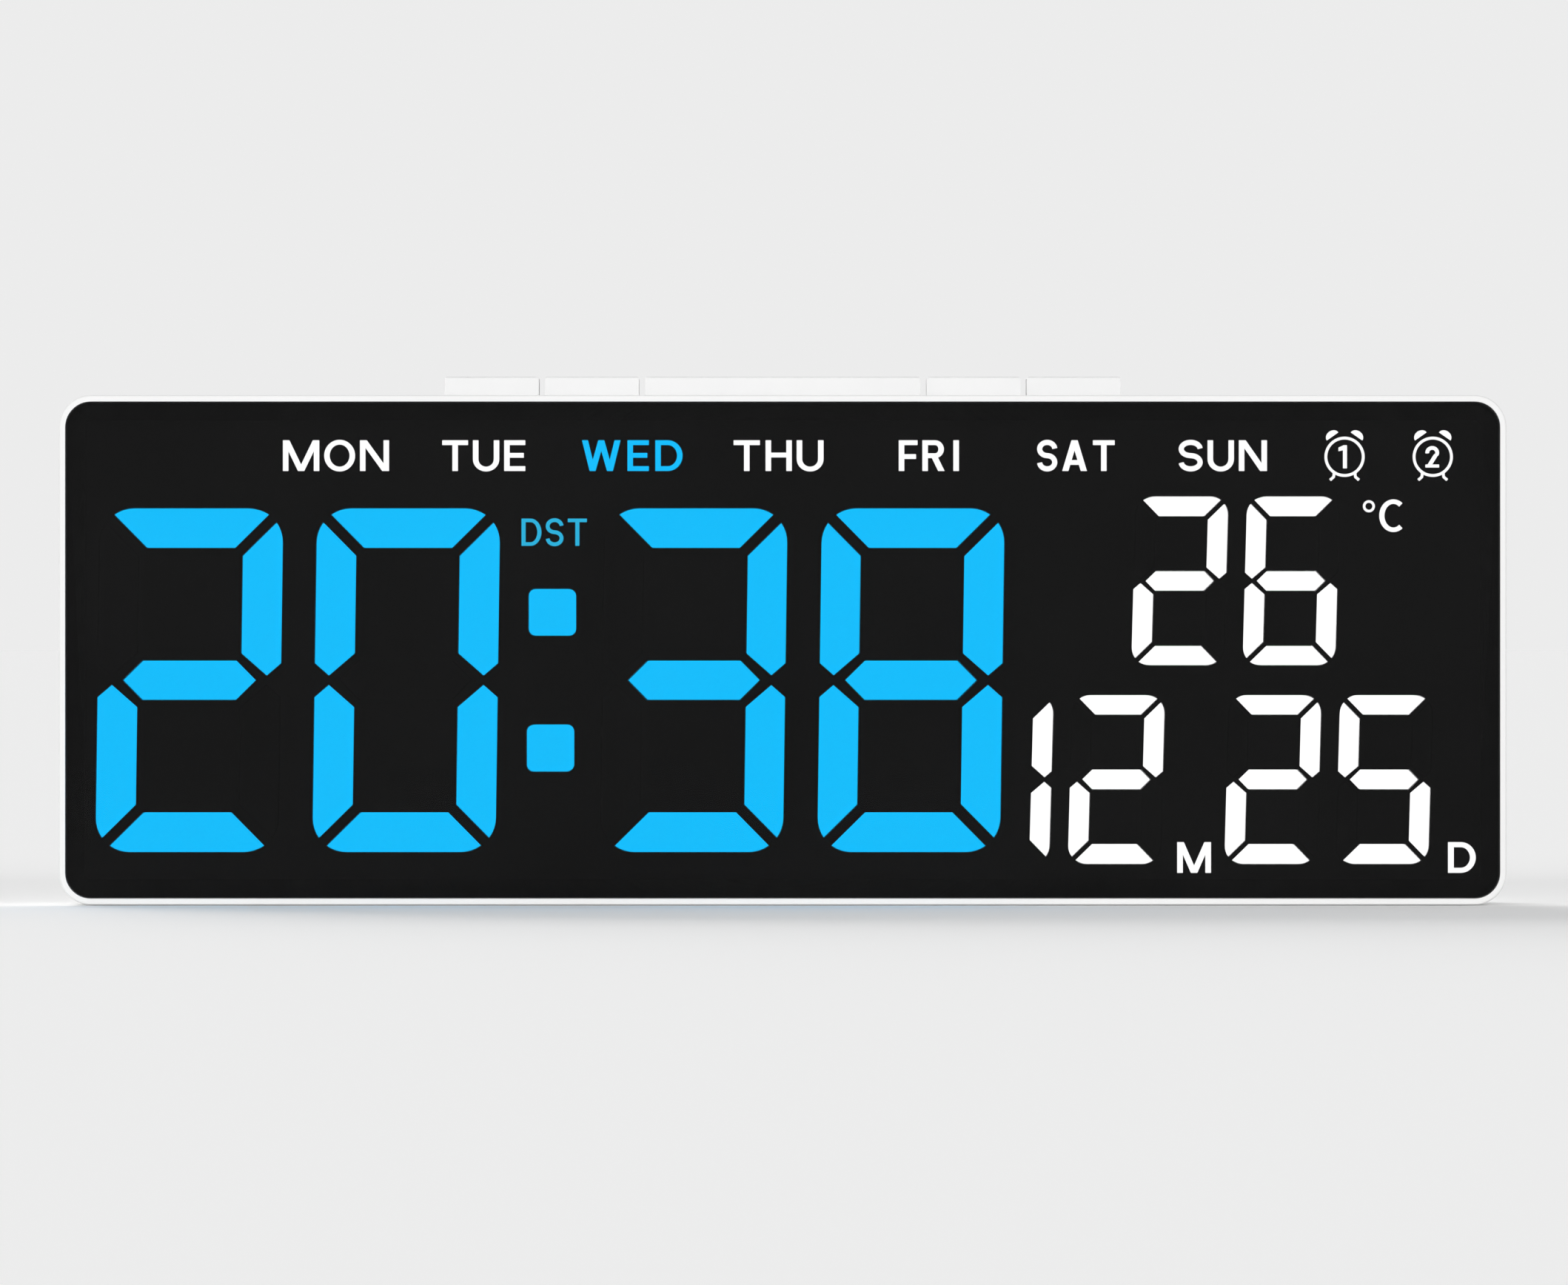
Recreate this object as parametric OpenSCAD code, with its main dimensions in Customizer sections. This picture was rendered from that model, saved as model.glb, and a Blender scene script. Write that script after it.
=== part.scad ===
// Wide digital alarm clock with a dark full-face lens, seven-bar digits and five keys on top.
// The front faces -Y, +X is the viewer's right, +Z is up, and the clock stands on z = 0.

/* [Housing] */
// Width of the housing
body_w = 230; // [205:1:255]
// Height of the housing, without the keys
body_h = 81; // [72:0.5:92]
// Depth from the front rim to the rear face
body_d = 28; // [27:0.5:36]
// Corner radius of the housing seen from the front
corner_r = 5.1; // [4.6:0.1:8]
// Wall thickness of the front frame
wall = 2; // [1.6:0.1:2.2]
// Rounding of the rim's front edge
rim_edge_r = 0.4; // [0.2:0.1:0.6]
// Rounding of the rear cover's back edge
rear_edge_r = 1.5; // [0.5:0.1:1.6]
// Depth of the rear cover behind the parting line
cover_d = 5; // [4.5:0.5:6]
// Thickness of the rear cover's back plate
plate_t = 2; // [1.6:0.1:2.4]
// Length of the lip that locates the cover in the frame
lip_l = 2; // [1:0.5:3]
// Thickness of the locating lip
lip_t = 1.2; // [0.8:0.1:1.6]
// Gap between the lip and the frame wall
lip_gap = 0.15; // [0.1:0.05:0.3]

/* [Front lens] */
// Width of the rim that shows round the lens
rim_w = 1; // [0.8:0.1:1.2]
// Thickness of the lens
lens_t = 2; // [1.5:0.1:2.5]
// How far the lens lies behind the rim
lens_sink = 0.2; // [0.1:0.1:0.6]
// Gap between the lens and its pocket
lens_gap = 0.1; // [0.05:0.05:0.2]
// Thickness of the tape that holds the lens
tape_t = 0.3; // [0.2:0.05:0.5]
// Thickness of the ledge behind the tape
ledge_t = 1.2; // [1:0.1:1.8]
// Reach of the ledge from the outside of the housing
ledge_w = 4; // [3.4:0.1:4.2]

/* [Display stack] */
// Thickness of the display mask
mask_t = 0.2; // [0.1:0.05:0.3]
// Gap between the lens and the display mask, for the printed words
print_gap = 0.2; // [0.15:0.05:0.3]
// Depth of the reflector block behind the mask
reflector_d = 7; // [6:0.5:8]
// Thickness of the display board
board_t = 1.6; // [1:0.2:2]
// Height of a light-emitting chip
led_h = 0.8; // [0.5:0.1:1]
// Gap between a chip and the light bar in front of it
led_gap = 0.2; // [0.1:0.1:0.5]
// Side clearance of a light bar in its well
bar_gap = 0.1; // [0.05:0.05:0.2]
// Side clearance of the reflector and the display board in the frame
stack_gap = 0.3; // [0.2:0.1:0.5]

/* [Time digits] */
// Height of a time digit
time_h = 54.6; // [50:0.2:55.4]
// Width of a time digit
time_w = 29; // [26:0.2:30]
// Stroke of a time digit
time_stroke = 6.2; // [5:0.05:7]
// Gap between the bars of a time digit
time_gap = 1.9; // [1:0.1:2]
// Outer corner radius of a time digit
time_r = 5.4; // [3:0.1:6]
// Distance of the side joints from the outer edge of a time digit
time_joint = 2.2; // [2:0.1:3]
// Lean of the time digits, in degrees
time_lean = 0.8; // [0:0.1:1.5]
// Distance from the housing's left side to the first time digit
time_margin = 6.1; // [6:0.1:8]
// Space between two time digits of a pair
time_space = 5.5; // [3:0.1:6]
// Space across the colon
colon_space = 16.8; // [14:0.1:17]
// Distance of the time digits from the bottom
time_low = 8.4; // [7.5:0.1:9]
// Side of a colon dot
dot_w = 7.4; // [6:0.1:8]
// Corner radius of a colon dot
dot_r = 1.1; // [0.5:0.1:2]
// Distance between the two colon dots' centres
dot_pitch = 21.6; // [16:0.1:26]
// How far the colon lies right of the middle between its digits
colon_shift = 0.2; // [0:0.1:0.5]

/* [Small digits] */
// Height of a small digit
small_h = 26.8; // [22:0.2:28]
// Width of a small digit
small_w = 14.6; // [12:0.2:15.2]
// Stroke of a small digit
small_stroke = 3.05; // [2.6:0.05:3.6]
// Gap between the bars of a small digit
small_gap = 0.95; // [0.6:0.05:1.1]
// Outer corner radius of a small digit
small_r = 2.9; // [1.6:0.1:3.2]
// Distance of the side joints from the outer edge of a small digit
small_joint = 1.05; // [0.9:0.05:1.5]
// Lean of the small digits, in degrees
small_lean = 1.55; // [0:0.05:3]
// Space between two small digits of a pair
small_space = 3.1; // [2:0.1:3.4]
// Distance from the housing's right side to the upper pair of digits
temp_margin = 26.8; // [24:0.1:28]
// Space between the date digits and the upper pair of digits
row_space = 4.8; // [3:0.1:6]
// Distance from the housing's right side to the day digits
day_margin = 12; // [11:0.1:12.4]
// Space between the month digits and the day digits
date_space = 10.3; // [9:0.1:10.6]
// Space between the time and the date's first digit, of which only the right half is fitted
date_gap = 4.75; // [3:0.05:6]
// Distance of the date digits from the bottom
date_low = 6.5; // [6.2:0.1:7]

/* [Words and symbols] */
// Distance between two weekday names
weekday_pitch = 23.5; // [22:0.1:24]
// How far the middle weekday lies left of the centre
weekday_left = 0.5; // [0:0.1:2]
// Space between the upper pair of digits and the weekday row
weekday_space = 4; // [3.4:0.1:5]
// Distance of the weekday row from the top
weekday_drop = 7.1; // [6.6:0.1:8]
// Width of the light block behind a weekday
weekday_w = 17.3; // [15:0.1:18]
// Height of the light block behind a word
word_h = 5; // [4:0.2:5.4]
// Distance from the housing's right side to the second alarm symbol's centre
alarm_margin = 11.7; // [11:0.1:13]
// Distance between the two alarm symbols
alarm_pitch = 14; // [13:0.1:15]
// Side of the light block behind an alarm symbol
alarm_w = 7.2; // [6:0.2:8]
// Width of the light block behind a unit letter
unit_w = 4.4; // [4:0.2:4.6]
// Distance from the housing's right side to the day letter's centre
day_letter_margin = 7; // [6.8:0.1:7.4]
// Distance of the unit letters from the bottom
unit_low = 5.1; // [4.8:0.1:6]
// Width of the light block behind the summer-time sign
summer_w = 11.5; // [10:0.5:13]
// Distance of the summer-time sign's centre below the time digits' top
summer_drop = 3.9; // [2.6:0.1:5]
// Width of the light block behind the degree sign
degree_w = 7.5; // [6:0.5:8]
// Distance from the housing's right side to the degree sign's centre
degree_margin = 19.8; // [19.4:0.1:20.4]
// Distance of the degree sign's centre below the upper pair of digits' top
degree_drop = 3.1; // [2.8:0.1:4.4]
// Height of the light block behind an alarm symbol
alarm_h = 8.4; // [7:0.2:8.6]

/* [Board parts] */
// Width of a light-emitting chip
led_w = 2.4; // [1.6:0.1:2.5]
// Height of a light-emitting chip seen from the front
led_l = 1.4; // [0.8:0.1:1.6]
// Side of the controller chip
controller_w = 12; // [8:0.5:14]
// Thickness of the controller chip
controller_t = 1.4; // [1:0.1:1.8]
// How far the controller chip and the drivers lie left of the centre
chips_left = 12; // [8:0.5:16]
// Height of the controller chip's place
controller_z = 30; // [24:0.5:34]
// Length of a driver chip
driver_l = 18; // [12:0.5:20]
// Width of a driver chip
driver_w = 7.5; // [5:0.5:8]
// Thickness of a driver chip
driver_t = 2.3; // [1.6:0.1:2.6]
// Distance between the two driver chips
driver_pitch = 48; // [44:0.5:52]
// Height of the driver chips' place
driver_z = 48; // [46:0.5:54]
// Radius of the clock crystal
crystal_r = 1.5; // [1:0.1:1.6]
// Length of the clock crystal
crystal_l = 8; // [6:0.5:9]
// Height of the clock crystal's place
crystal_z = 42; // [40:0.5:43]
// Radius of the capacitor
capacitor_r = 3.2; // [2.5:0.1:4]
// Height of the capacitor
capacitor_h = 7.5; // [5:0.5:8]
// Sideways place of the capacitor
capacitor_x = 36; // [32:0.5:42]
// Height of the capacitor's place
capacitor_z = 24; // [20:0.5:34]
// Radius of the sensor's bead
sensor_r = 1.3; // [1:0.1:1.6]
// Distance of the sensor from the housing's right side
sensor_margin = 23; // [21:0.5:27]
// Height of the sensor's place
sensor_z = 20; // [14:0.5:30]
// Radius of the sensor's leads
sensor_lead_r = 0.25; // [0.2:0.05:0.4]
// Length of the sensor's leads
sensor_lead_l = 4; // [2:0.5:5]
// Distance between the sensor's leads
sensor_lead_pitch = 1.4; // [1:0.1:2]

/* [Keys] */
// Width of a small key
key_w = 15; // [12:0.5:18]
// Width of the snooze key
snooze_w = 44; // [36:0.2:46]
// Depth of the keys, front to back
key_d = 7.5; // [6:0.5:8]
// Gap between two keys
key_gap = 1; // [0.8:0.1:1.4]
// Height of the keys above the housing
key_rise = 3.2; // [2:0.1:4]
// Rounding of a key's top edges
key_edge_r = 0.4; // [0.3:0.1:1]
// Gap round the key row in its slot
key_slot_gap = 0.3; // [0.25:0.05:0.5]
// Reach of a key's flange under the top wall
key_flange = 1; // [0.8:0.1:1.2]
// Thickness of a key's flange
key_flange_t = 1.2; // [0.8:0.1:1.6]
// Gap between a key's flange and the top wall
key_flange_gap = 0.15; // [0.1:0.05:0.3]
// Radius of a key's stem
key_stem_r = 2; // [1.5:0.1:2.5]
// Travel of a key
key_travel = 0.5; // [0.3:0.1:0.6]
// Distance from the display board to the key row
key_back = 1.8; // [1.6:0.1:2.2]
// Side of a key switch
switch_w = 6; // [4.5:0.5:6.5]
// Height of a key switch
switch_h = 3.2; // [3:0.1:4]
// Radius of a switch plunger
plunger_r = 1.75; // [1.2:0.05:2]
// Height of a plunger above its switch
plunger_rise = 1; // [0.8:0.1:1.5]
// Depth of a plunger inside its switch
plunger_sunk = 1.3; // [1:0.1:1.6]
// Gap round a plunger in its switch
plunger_gap = 0.15; // [0.1:0.05:0.3]
// Length of a key's stem below its flange
stem_l = 1.95; // [1.5:0.05:3]
// Thickness of the key board
key_board_t = 1.2; // [1:0.2:1.6]
// Depth of the key board, front to back
key_board_d = 9; // [8.5:0.5:10]
// Gap between the display board and the key board
key_board_gap = 0.5; // [0.4:0.1:1]
// Radius of a post that carries the key board
key_post_r = 2.5; // [2:0.1:3]
// Gap between the key row and a post
key_post_gap = 2.5; // [2:0.1:4]
// Reach of the key board beyond a post
key_board_edge = 0.5; // [0.2:0.1:1]
// Length of a key board screw inside its post
key_screw_bite = 5; // [3:0.5:6]

/* [Screws] */
// Radius of a screw's shank
screw_r = 0.8; // [0.6:0.05:1]
// Radius of a screw's head
screw_head_r = 1.8; // [1.5:0.1:1.9]
// Height of a screw's head
screw_head_h = 1.3; // [1:0.1:1.4]
// Rise of a screw head's crown from its edge to its middle
screw_crown = 0.3; // [0.2:0.05:0.4]
// Length of a groove of the cross in a screw's head
cross_l = 2.3; // [1.8:0.1:2.5]
// Width of a groove of the cross
cross_w = 0.55; // [0.4:0.05:0.7]
// Depth of the cross
cross_d = 0.7; // [0.5:0.1:0.8]
// Gap round a shank in its boss
screw_gap = 0.05; // [0.02:0.01:0.1]
// Gap round a shank or a head in a clearance hole
screw_clear = 0.3; // [0.2:0.1:0.4]
// Length of a screw inside its boss
screw_bite = 5; // [3:0.5:5.5]
// Radius of a display board boss
board_boss_r = 2.2; // [2:0.1:2.6]
// Distance of the upper display board bosses from the top
board_boss_top = 5.6; // [5.2:0.1:6]
// Distance of the lower display board bosses from the bottom
board_boss_low = 4.4; // [4:0.1:4.5]
// Wall between a lower display board boss and the light well beside it
board_boss_wall = 0.8; // [0.6:0.1:2]
// Radius of a cover boss
cover_boss_r = 2.1; // [1.8:0.1:2.2]
// Distance of the cover bosses from the top and bottom
cover_boss_in = 3.7; // [3.6:0.1:3.8]
// Wall round a cover screw's head
head_wall = 1; // [0.8:0.1:1.2]
// Material between a cover screw's head and the parting line
cover_seat = 1.2; // [0.8:0.1:1.6]
// Width of the rib that ties a boss to the wall
boss_rib = 2; // [1.5:0.1:2.4]

/* [Rear fittings] */
// Distance of the wall-hanging keyholes from the housing's sides
keyhole_margin = 30; // [27:0.5:35]
// Distance of the keyholes' entry holes from the top
keyhole_drop = 24; // [21:0.5:27]
// Radius of a keyhole's entry hole
keyhole_r = 4; // [3.5:0.1:4.5]
// Width of a keyhole's slot
keyhole_slot = 4.2; // [3.6:0.1:4.4]
// Length of a keyhole's slot above its entry hole's centre
keyhole_l = 8; // [7:0.5:10]
// Distance of the buzzer and its sound slots from the housing's right side
buzzer_margin = 41; // [35:0.5:45]
// Height of the buzzer and its sound slots
buzzer_z = 36; // [34:0.5:40]
// Radius of the buzzer
buzzer_r = 6; // [5:0.5:7]
// Height of the buzzer
buzzer_h = 6.5; // [5:0.5:7]
// Radius of the buzzer's sound hole
buzzer_hole_r = 1; // [0.6:0.1:1.5]
// Depth of the buzzer's sound hole
buzzer_hole_d = 1.2; // [0.6:0.1:2]
// Number of sound slots
sound_slots = 5; // [3:2:7]
// Width of a sound slot
sound_slot_w = 1.4; // [1:0.1:1.6]
// Distance between two sound slots
sound_pitch = 2.8; // [2.4:0.1:3]
// Length of a sound slot
sound_slot_l = 13; // [8:0.5:15]
// Distance of the power inlet from the housing's right side
usb_margin = 53; // [49:0.5:59]
// Height of the power inlet's centre
usb_z = 14; // [13:0.5:16]
// Outer width of the power inlet's socket
usb_w = 8.94; // [8.7:0.02:9.2]
// Outer height of the power inlet's socket
usb_h = 3.26; // [3.1:0.02:3.4]
// Shell thickness of the socket
usb_shell = 0.3; // [0.2:0.05:0.35]
// Length of the socket
usb_l = 7.3; // [6.8:0.1:8]
// Thickness of the socket's inner wall
usb_floor = 0.9; // [0.6:0.1:1.2]
// How far the socket's mouth lies behind the rear face
usb_sink = 0.6; // [0.3:0.1:1]
// Gap round the socket in the cover
usb_gap = 0.25; // [0.2:0.05:0.4]
// Width of the socket's tongue
tongue_w = 6.7; // [6.4:0.1:7]
// Thickness of the socket's tongue
tongue_t = 0.7; // [0.6:0.05:0.9]
// Length of the socket's tongue
tongue_l = 5; // [4:0.1:5.2]
// Width of the power board
power_w = 16; // [14:0.5:18]
// Thickness of the power board
power_t = 1.2; // [1:0.2:1.6]
// Length of the power board, front to back
power_l = 8; // [7:0.5:8.5]
// Thickness of the rails that hold the power board
rail_t = 1.6; // [1.2:0.1:2]
// Depth of the rails' groove
rail_grip = 1.2; // [0.8:0.1:1.6]
// Gap round the power board in its rails
rail_gap = 0.1; // [0.05:0.05:0.15]
// Radius of a power lead
lead_r = 0.5; // [0.4:0.05:0.7]
// Bend radius of a power lead
lead_bend = 1.5; // [1.2:0.1:2]
// Distance between the two power leads
lead_pitch = 6; // [3:0.5:8]
// Height of the power leads on the display board, below the power board
lead_drop = 4; // [3:0.5:5]

/* [Memory cell] */
// Distance of the coin cell from the housing's left side
coin_margin = 55; // [51:0.5:61]
// Height of the coin cell
coin_z = 34; // [30:0.5:40]
// Radius of the coin cell
coin_r = 10; // [8:0.5:11]
// Thickness of the coin cell
coin_t = 3.2; // [2:0.1:3.4]
// Gap round the coin cell in its cup
coin_gap = 0.4; // [0.3:0.05:0.6]
// Wall of the cell's cup outside the door's recess
cup_wall = 1.5; // [1.2:0.1:2]
// Floor of the cell's cup
cup_floor = 1.2; // [1:0.1:1.6]
// Space for the contact below the cell
contact_space = 0.6; // [0.5:0.05:1]
// Thickness of a contact leaf
contact_t = 0.3; // [0.2:0.05:0.4]
// Width of a contact leaf
contact_w = 5; // [3:0.5:6]
// Length of the leaf under the cell
contact_l = 14; // [10:0.5:18]
// Depth of the pocket for the leaf beside the cell
contact_pocket = 1; // [0.8:0.1:1.4]
// Radius of the raised contact
contact_r = 1.6; // [1:0.1:2.4]
// Gap between the raised contact and the cell
contact_gap = 0.05; // [0.02:0.01:0.1]
// Height of the cell's narrow end
cell_step = 0.6; // [0.4:0.1:0.8]
// How far the cell's narrow end lies inside its rim
cell_rim = 1.2; // [0.8:0.1:1.6]
// Radius of the cell door's disc
door_r = 12.8; // [12.5:0.1:14]
// Thickness of the cell door's disc
door_t = 1.3; // [1:0.1:1.6]
// Gap round the door in its recess
door_gap = 0.2; // [0.15:0.05:0.3]
// How far the door lies behind the rear face
door_sink = 0.1; // [0.05:0.05:0.3]
// Height of the door's skirt below its disc
skirt_h = 2.3; // [2:0.1:2.6]
// Wall of the door's skirt
skirt_t = 2; // [1.6:0.1:2.4]
// Reach of a door lug beyond the skirt
lug_reach = 1.5; // [1.2:0.1:1.6]
// Height of a door lug
lug_h = 0.9; // [0.7:0.1:1]
// Span of a door lug, in degrees
lug_span = 30; // [20:1:36]
// Turn of the door from locked to free, in degrees
door_turn = 50; // [45:1:60]
// Gap round a lug in its track
lug_gap = 0.15; // [0.1:0.05:0.2]
// Free turn at each end of a lug's track, in degrees
lug_slack = 3; // [2:0.5:5]
// Length of the coin slot in the door
coin_slot_l = 13; // [10:0.5:16]
// Width of the coin slot in the door
coin_slot_w = 1.8; // [1.4:0.1:2.2]
// Depth of the coin slot in the door
coin_slot_d = 0.7; // [0.5:0.1:0.8]

/* [Stand] */
// Width of the stand leg
leg_w = 44; // [36:1:56]
// Length of the stand leg from its pin to its foot
leg_l = 57; // [48:0.5:57.5]
// Thickness of the stand leg
leg_t = 2.4; // [2.2:0.1:2.6]
// Corner radius of the stand leg's foot
leg_r = 6; // [3:0.5:10]
// Distance of the stand leg's foot from the bottom
leg_low = 3; // [2.5:0.5:5]
// Width of the border round the stand leg's panel
leg_bar = 7; // [6:0.5:12]
// Depth of the stand leg's panel
leg_panel_d = 0.6; // [0.3:0.1:0.8]
// Gap round the stand leg in its recess
leg_gap = 0.3; // [0.25:0.05:0.4]
// Floor of the stand recess
recess_floor = 1.4; // [1.2:0.1:1.8]
// Radius of the stand pin
leg_pin_r = 0.8; // [0.6:0.05:0.9]
// Gap round the pin in the leg
leg_pin_gap = 0.05; // [0.03:0.01:0.08]
// Gap round the pin in the cover
ear_pin_gap = 0.02; // [0.01:0.01:0.05]
// Length of the pin's seat in the cover at each end
ear_l = 5; // [4:0.5:7]
// Height of the block round the pin's seat
ear_h = 6; // [5:0.5:8]
// Radius of the finger scoops beside the leg
scoop_r = 7; // [5:0.5:9]
// Height of the finger scoops
scoop_z = 16; // [12:0.5:20]

/* [Hidden] */
$fn = 64;

// Overlap of a cut with the face that it passes
cut = 1;
// Joined pieces of one solid share this much
weld = 0.2;
mid_z = body_h / 2;
front_y = -body_d / 2;
rear_y = body_d / 2;
parting_y = rear_y - cover_d;
plate_y = rear_y - plate_t;
cover_in = wall + lip_gap + lip_t;
// Least corner radius of an outline drawn in
least_r = 0.6;

lens_y = front_y + lens_sink;
tape_y = lens_y + lens_t;
ledge_y = tape_y + tape_t;
ledge_rear = ledge_y + ledge_t;
mask_y = tape_y + print_gap;
reflector_y = mask_y + mask_t;
board_y = reflector_y + reflector_d;
board_rear = board_y + board_t;
bar_end = board_y - led_h - led_gap;
// Step between the reflector's front part, in the window, and its part behind the ledge
step_gap = 0.1;

// The digits' widths and spaces, and their heights and spaces, add up to the display's layout
layout_w = time_margin + 4 * time_w + 2 * time_space + colon_space + date_gap
  + small_stroke + 3 * small_w + 2 * small_space + date_space + day_margin;
layout_h = date_low + 2 * small_h + row_space + weekday_space + word_h + weekday_drop;
// The layout stretches to the housing from its centre, inside a margin that stays
layout_margin = 6.2;
across = (body_w - 2 * layout_margin) / (layout_w - 2 * layout_margin);
upward = (body_h - 2 * layout_margin) / (layout_h - 2 * layout_margin);
evenly = min(across, upward);
function place(x, z) = [across * x, mid_z + upward * z];

// A digit style holds width, height, stroke, gap, corner radius, joint distance and lean
function style(w, h, stroke, gap, r, joint, lean) =
  [across * w, upward * h, evenly * stroke, evenly * gap, evenly * r, evenly * joint, lean];
TIME = style(time_w, time_h, time_stroke, time_gap, time_r, time_joint, time_lean);
SMALL = style(small_w, small_h, small_stroke, small_gap, small_r, small_joint, small_lean);
ALL_BARS = [0, 1, 2, 3, 4, 5, 6];
// A ten that only ever shows one has the two right-hand bars
RIGHT_BARS = [1, 2];
// Slope of the bars' pointed ends at the side joints, in degrees
joint_slope = 41;
// Half the opening between two bars that meet at a side joint, as a share of the bar gap
joint_share = 0.42;
// Points on a bar's round corner
arc_steps = 4;

hour_tens_x = -layout_w / 2 + time_margin + time_w / 2;
hour_units_x = hour_tens_x + time_w + time_space;
minute_tens_x = hour_units_x + time_w + colon_space;
minute_units_x = minute_tens_x + time_w + time_space;
colon_x = (hour_units_x + minute_tens_x) / 2 + colon_shift;
small_pitch = small_w + small_space;
temp_units_x = layout_w / 2 - temp_margin - small_w / 2;
temp_tens_x = temp_units_x - small_pitch;
day_units_x = layout_w / 2 - day_margin - small_w / 2;
day_tens_x = day_units_x - small_pitch;
month_units_x = day_tens_x - small_w - date_space;
month_tens_x = month_units_x - small_pitch;
time_rise = time_low + time_h / 2 - layout_h / 2;
date_rise = date_low + small_h / 2 - layout_h / 2;
temp_rise = date_rise + small_h + row_space;

// Each digit is a style, a place and its bars
HOUR_TENS = [TIME, place(hour_tens_x, time_rise), ALL_BARS];
HOUR_UNITS = [TIME, place(hour_units_x, time_rise), ALL_BARS];
MINUTE_TENS = [TIME, place(minute_tens_x, time_rise), ALL_BARS];
MINUTE_UNITS = [TIME, place(minute_units_x, time_rise), ALL_BARS];
TEMPERATURE = [for (x = [temp_tens_x, temp_units_x]) [SMALL, place(x, temp_rise), ALL_BARS]];
MONTH = [
  [SMALL, place(month_tens_x, date_rise), RIGHT_BARS],
  [SMALL, place(month_units_x, date_rise), ALL_BARS]
];
DAY = [for (x = [day_tens_x, day_units_x]) [SMALL, place(x, date_rise), ALL_BARS]];
TIME_DIGITS = [HOUR_TENS, HOUR_UNITS, MINUTE_TENS, MINUTE_UNITS];
SMALL_DIGITS = concat(TEMPERATURE, MONTH, DAY);
DOTS = [
  for (dz = [-dot_pitch / 2, dot_pitch / 2]) place(colon_x + dz * tan(time_lean), time_rise + dz)
];

// Light blocks behind the words: centre x, centre z, width, height
function word(x, rise, w, h) = concat(place(x, rise), [across * w, upward * h]);
weekday_rise = layout_h / 2 - weekday_drop - word_h / 2;
unit_rise = unit_low + word_h / 2 - layout_h / 2;
summer_rise = time_rise + time_h / 2 - summer_drop;
degree_rise = temp_rise + small_h / 2 - degree_drop;
alarm_x = layout_w / 2 - alarm_margin;
month_letter_x = (month_units_x + day_tens_x) / 2;
WORDS = concat(
  [for (i = [-3:3]) word(i * weekday_pitch - weekday_left, weekday_rise, weekday_w, word_h)],
  [for (i = [0, 1]) word(alarm_x - i * alarm_pitch, weekday_rise, alarm_w, alarm_h)],
  [
    word(colon_x, summer_rise, summer_w, word_h),
    word(layout_w / 2 - degree_margin, degree_rise, degree_w, word_h),
    word(month_letter_x, unit_rise, unit_w, word_h),
    word(layout_w / 2 - day_letter_margin, unit_rise, unit_w, word_h)
  ]
);

// The upper display board bosses stand between weekdays, the lower ones beside the month's first digit
one_left = place(month_tens_x, date_rise)[0] + SMALL[0] / 2 - SMALL[2];
low_boss_x = one_left - board_boss_wall - stack_gap - board_boss_r;
BOARD_BOSSES = concat(
  [for (i = [-2.5, 2.5]) [across * (i * weekday_pitch - weekday_left), body_h - board_boss_top]],
  [for (s = [-1, 1]) [s * low_boss_x, board_boss_low]]
);
// The cover bosses stand as far out as the space between the two alarm symbols
cover_boss_x = across * (alarm_x - alarm_pitch / 2);
COVER_BOSSES = [
  for (s = [-1, 1], z = [cover_boss_in, body_h - cover_boss_in]) [s * cover_boss_x, z]
];

wall_z = body_h - wall;
key_y = board_rear + key_back;
key_mid_y = key_y + key_d / 2;
key_row = 4 * key_w + snooze_w + 4 * key_gap;
flange_top = wall_z - key_flange_gap;
flange_low = flange_top - key_flange_t;
plunger_top = flange_low - stem_l;
switch_top = plunger_top - plunger_rise;
key_board_top = switch_top - switch_h;
key_board_low = key_board_top - key_board_t;
key_board_y = board_rear + key_board_gap;
inner_key_x = snooze_w / 2 + key_gap + key_w / 2;
outer_key_x = inner_key_x + key_w + key_gap;
KEY_X = [-outer_key_x, -inner_key_x, 0, inner_key_x, outer_key_x];
key_post_x = key_row / 2 + key_post_gap + key_post_r;
key_board_w = 2 * (key_post_x + key_post_r + key_board_edge);

usb_x = body_w / 2 - usb_margin;
buzzer_x = body_w / 2 - buzzer_margin;
sensor_x = body_w / 2 - sensor_margin;
keyhole_x = body_w / 2 - keyhole_margin;
keyhole_z = body_h - keyhole_drop;
coin_x = coin_margin - body_w / 2;

power_top = usb_z - usb_h / 2;
power_low = power_top - power_t;
power_y = plate_y - power_l;
usb_y = rear_y - usb_sink - usb_l;
lead_z = power_low - lead_drop;
lead_y = power_y + lead_bend + lead_r;

door_y = rear_y - door_sink - door_t;
skirt_y = door_y - skirt_h;
skirt_r = coin_r + coin_gap - door_gap;
cell_rear = skirt_y - door_gap;
cell_y = cell_rear - coin_t;
cup_y = cell_y - contact_space;
cup_r = door_r + door_gap + cup_wall;
bore_r = coin_r + coin_gap;
lug_r = skirt_r + lug_reach;

recess_y = rear_y - leg_t - 2 * leg_gap;
leg_y = recess_y + leg_gap;
leg_pin_y = leg_y + leg_t / 2;
leg_z = leg_low + leg_l;
recess_top = leg_z + leg_t / 2 + 2 * leg_gap;
recess_low = leg_z - leg_l - leg_gap;
ear_x = leg_w / 2 + leg_gap;
// Corners on the far side of a sector
sector_steps = 4;

// A flat shape in x and z, drawn out along +Y from y over depth d
module slab(y, d) {
  translate([0, y + d, 0]) rotate([90, 0, 0]) linear_extrude(height = d) children();
}

// A shape drawn along +Z, laid along +Y from the point (x, y, z)
module along_y(x, y, z) {
  translate([x, y, z]) rotate([-90, 0, 0]) children();
}

module rounded(w, h, r) {
  square([w - 2 * r, h], center = true);
  square([w, h - 2 * r], center = true);
  for (x = [-1, 1], z = [-1, 1]) translate([x * (w / 2 - r), z * (h / 2 - r)]) circle(r);
}

// A slot with full round ends
module slot(l, w) {
  square([l - w, w], center = true);
  for (s = [-1, 1]) translate([s * (l - w) / 2, 0]) circle(w / 2);
}

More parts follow.
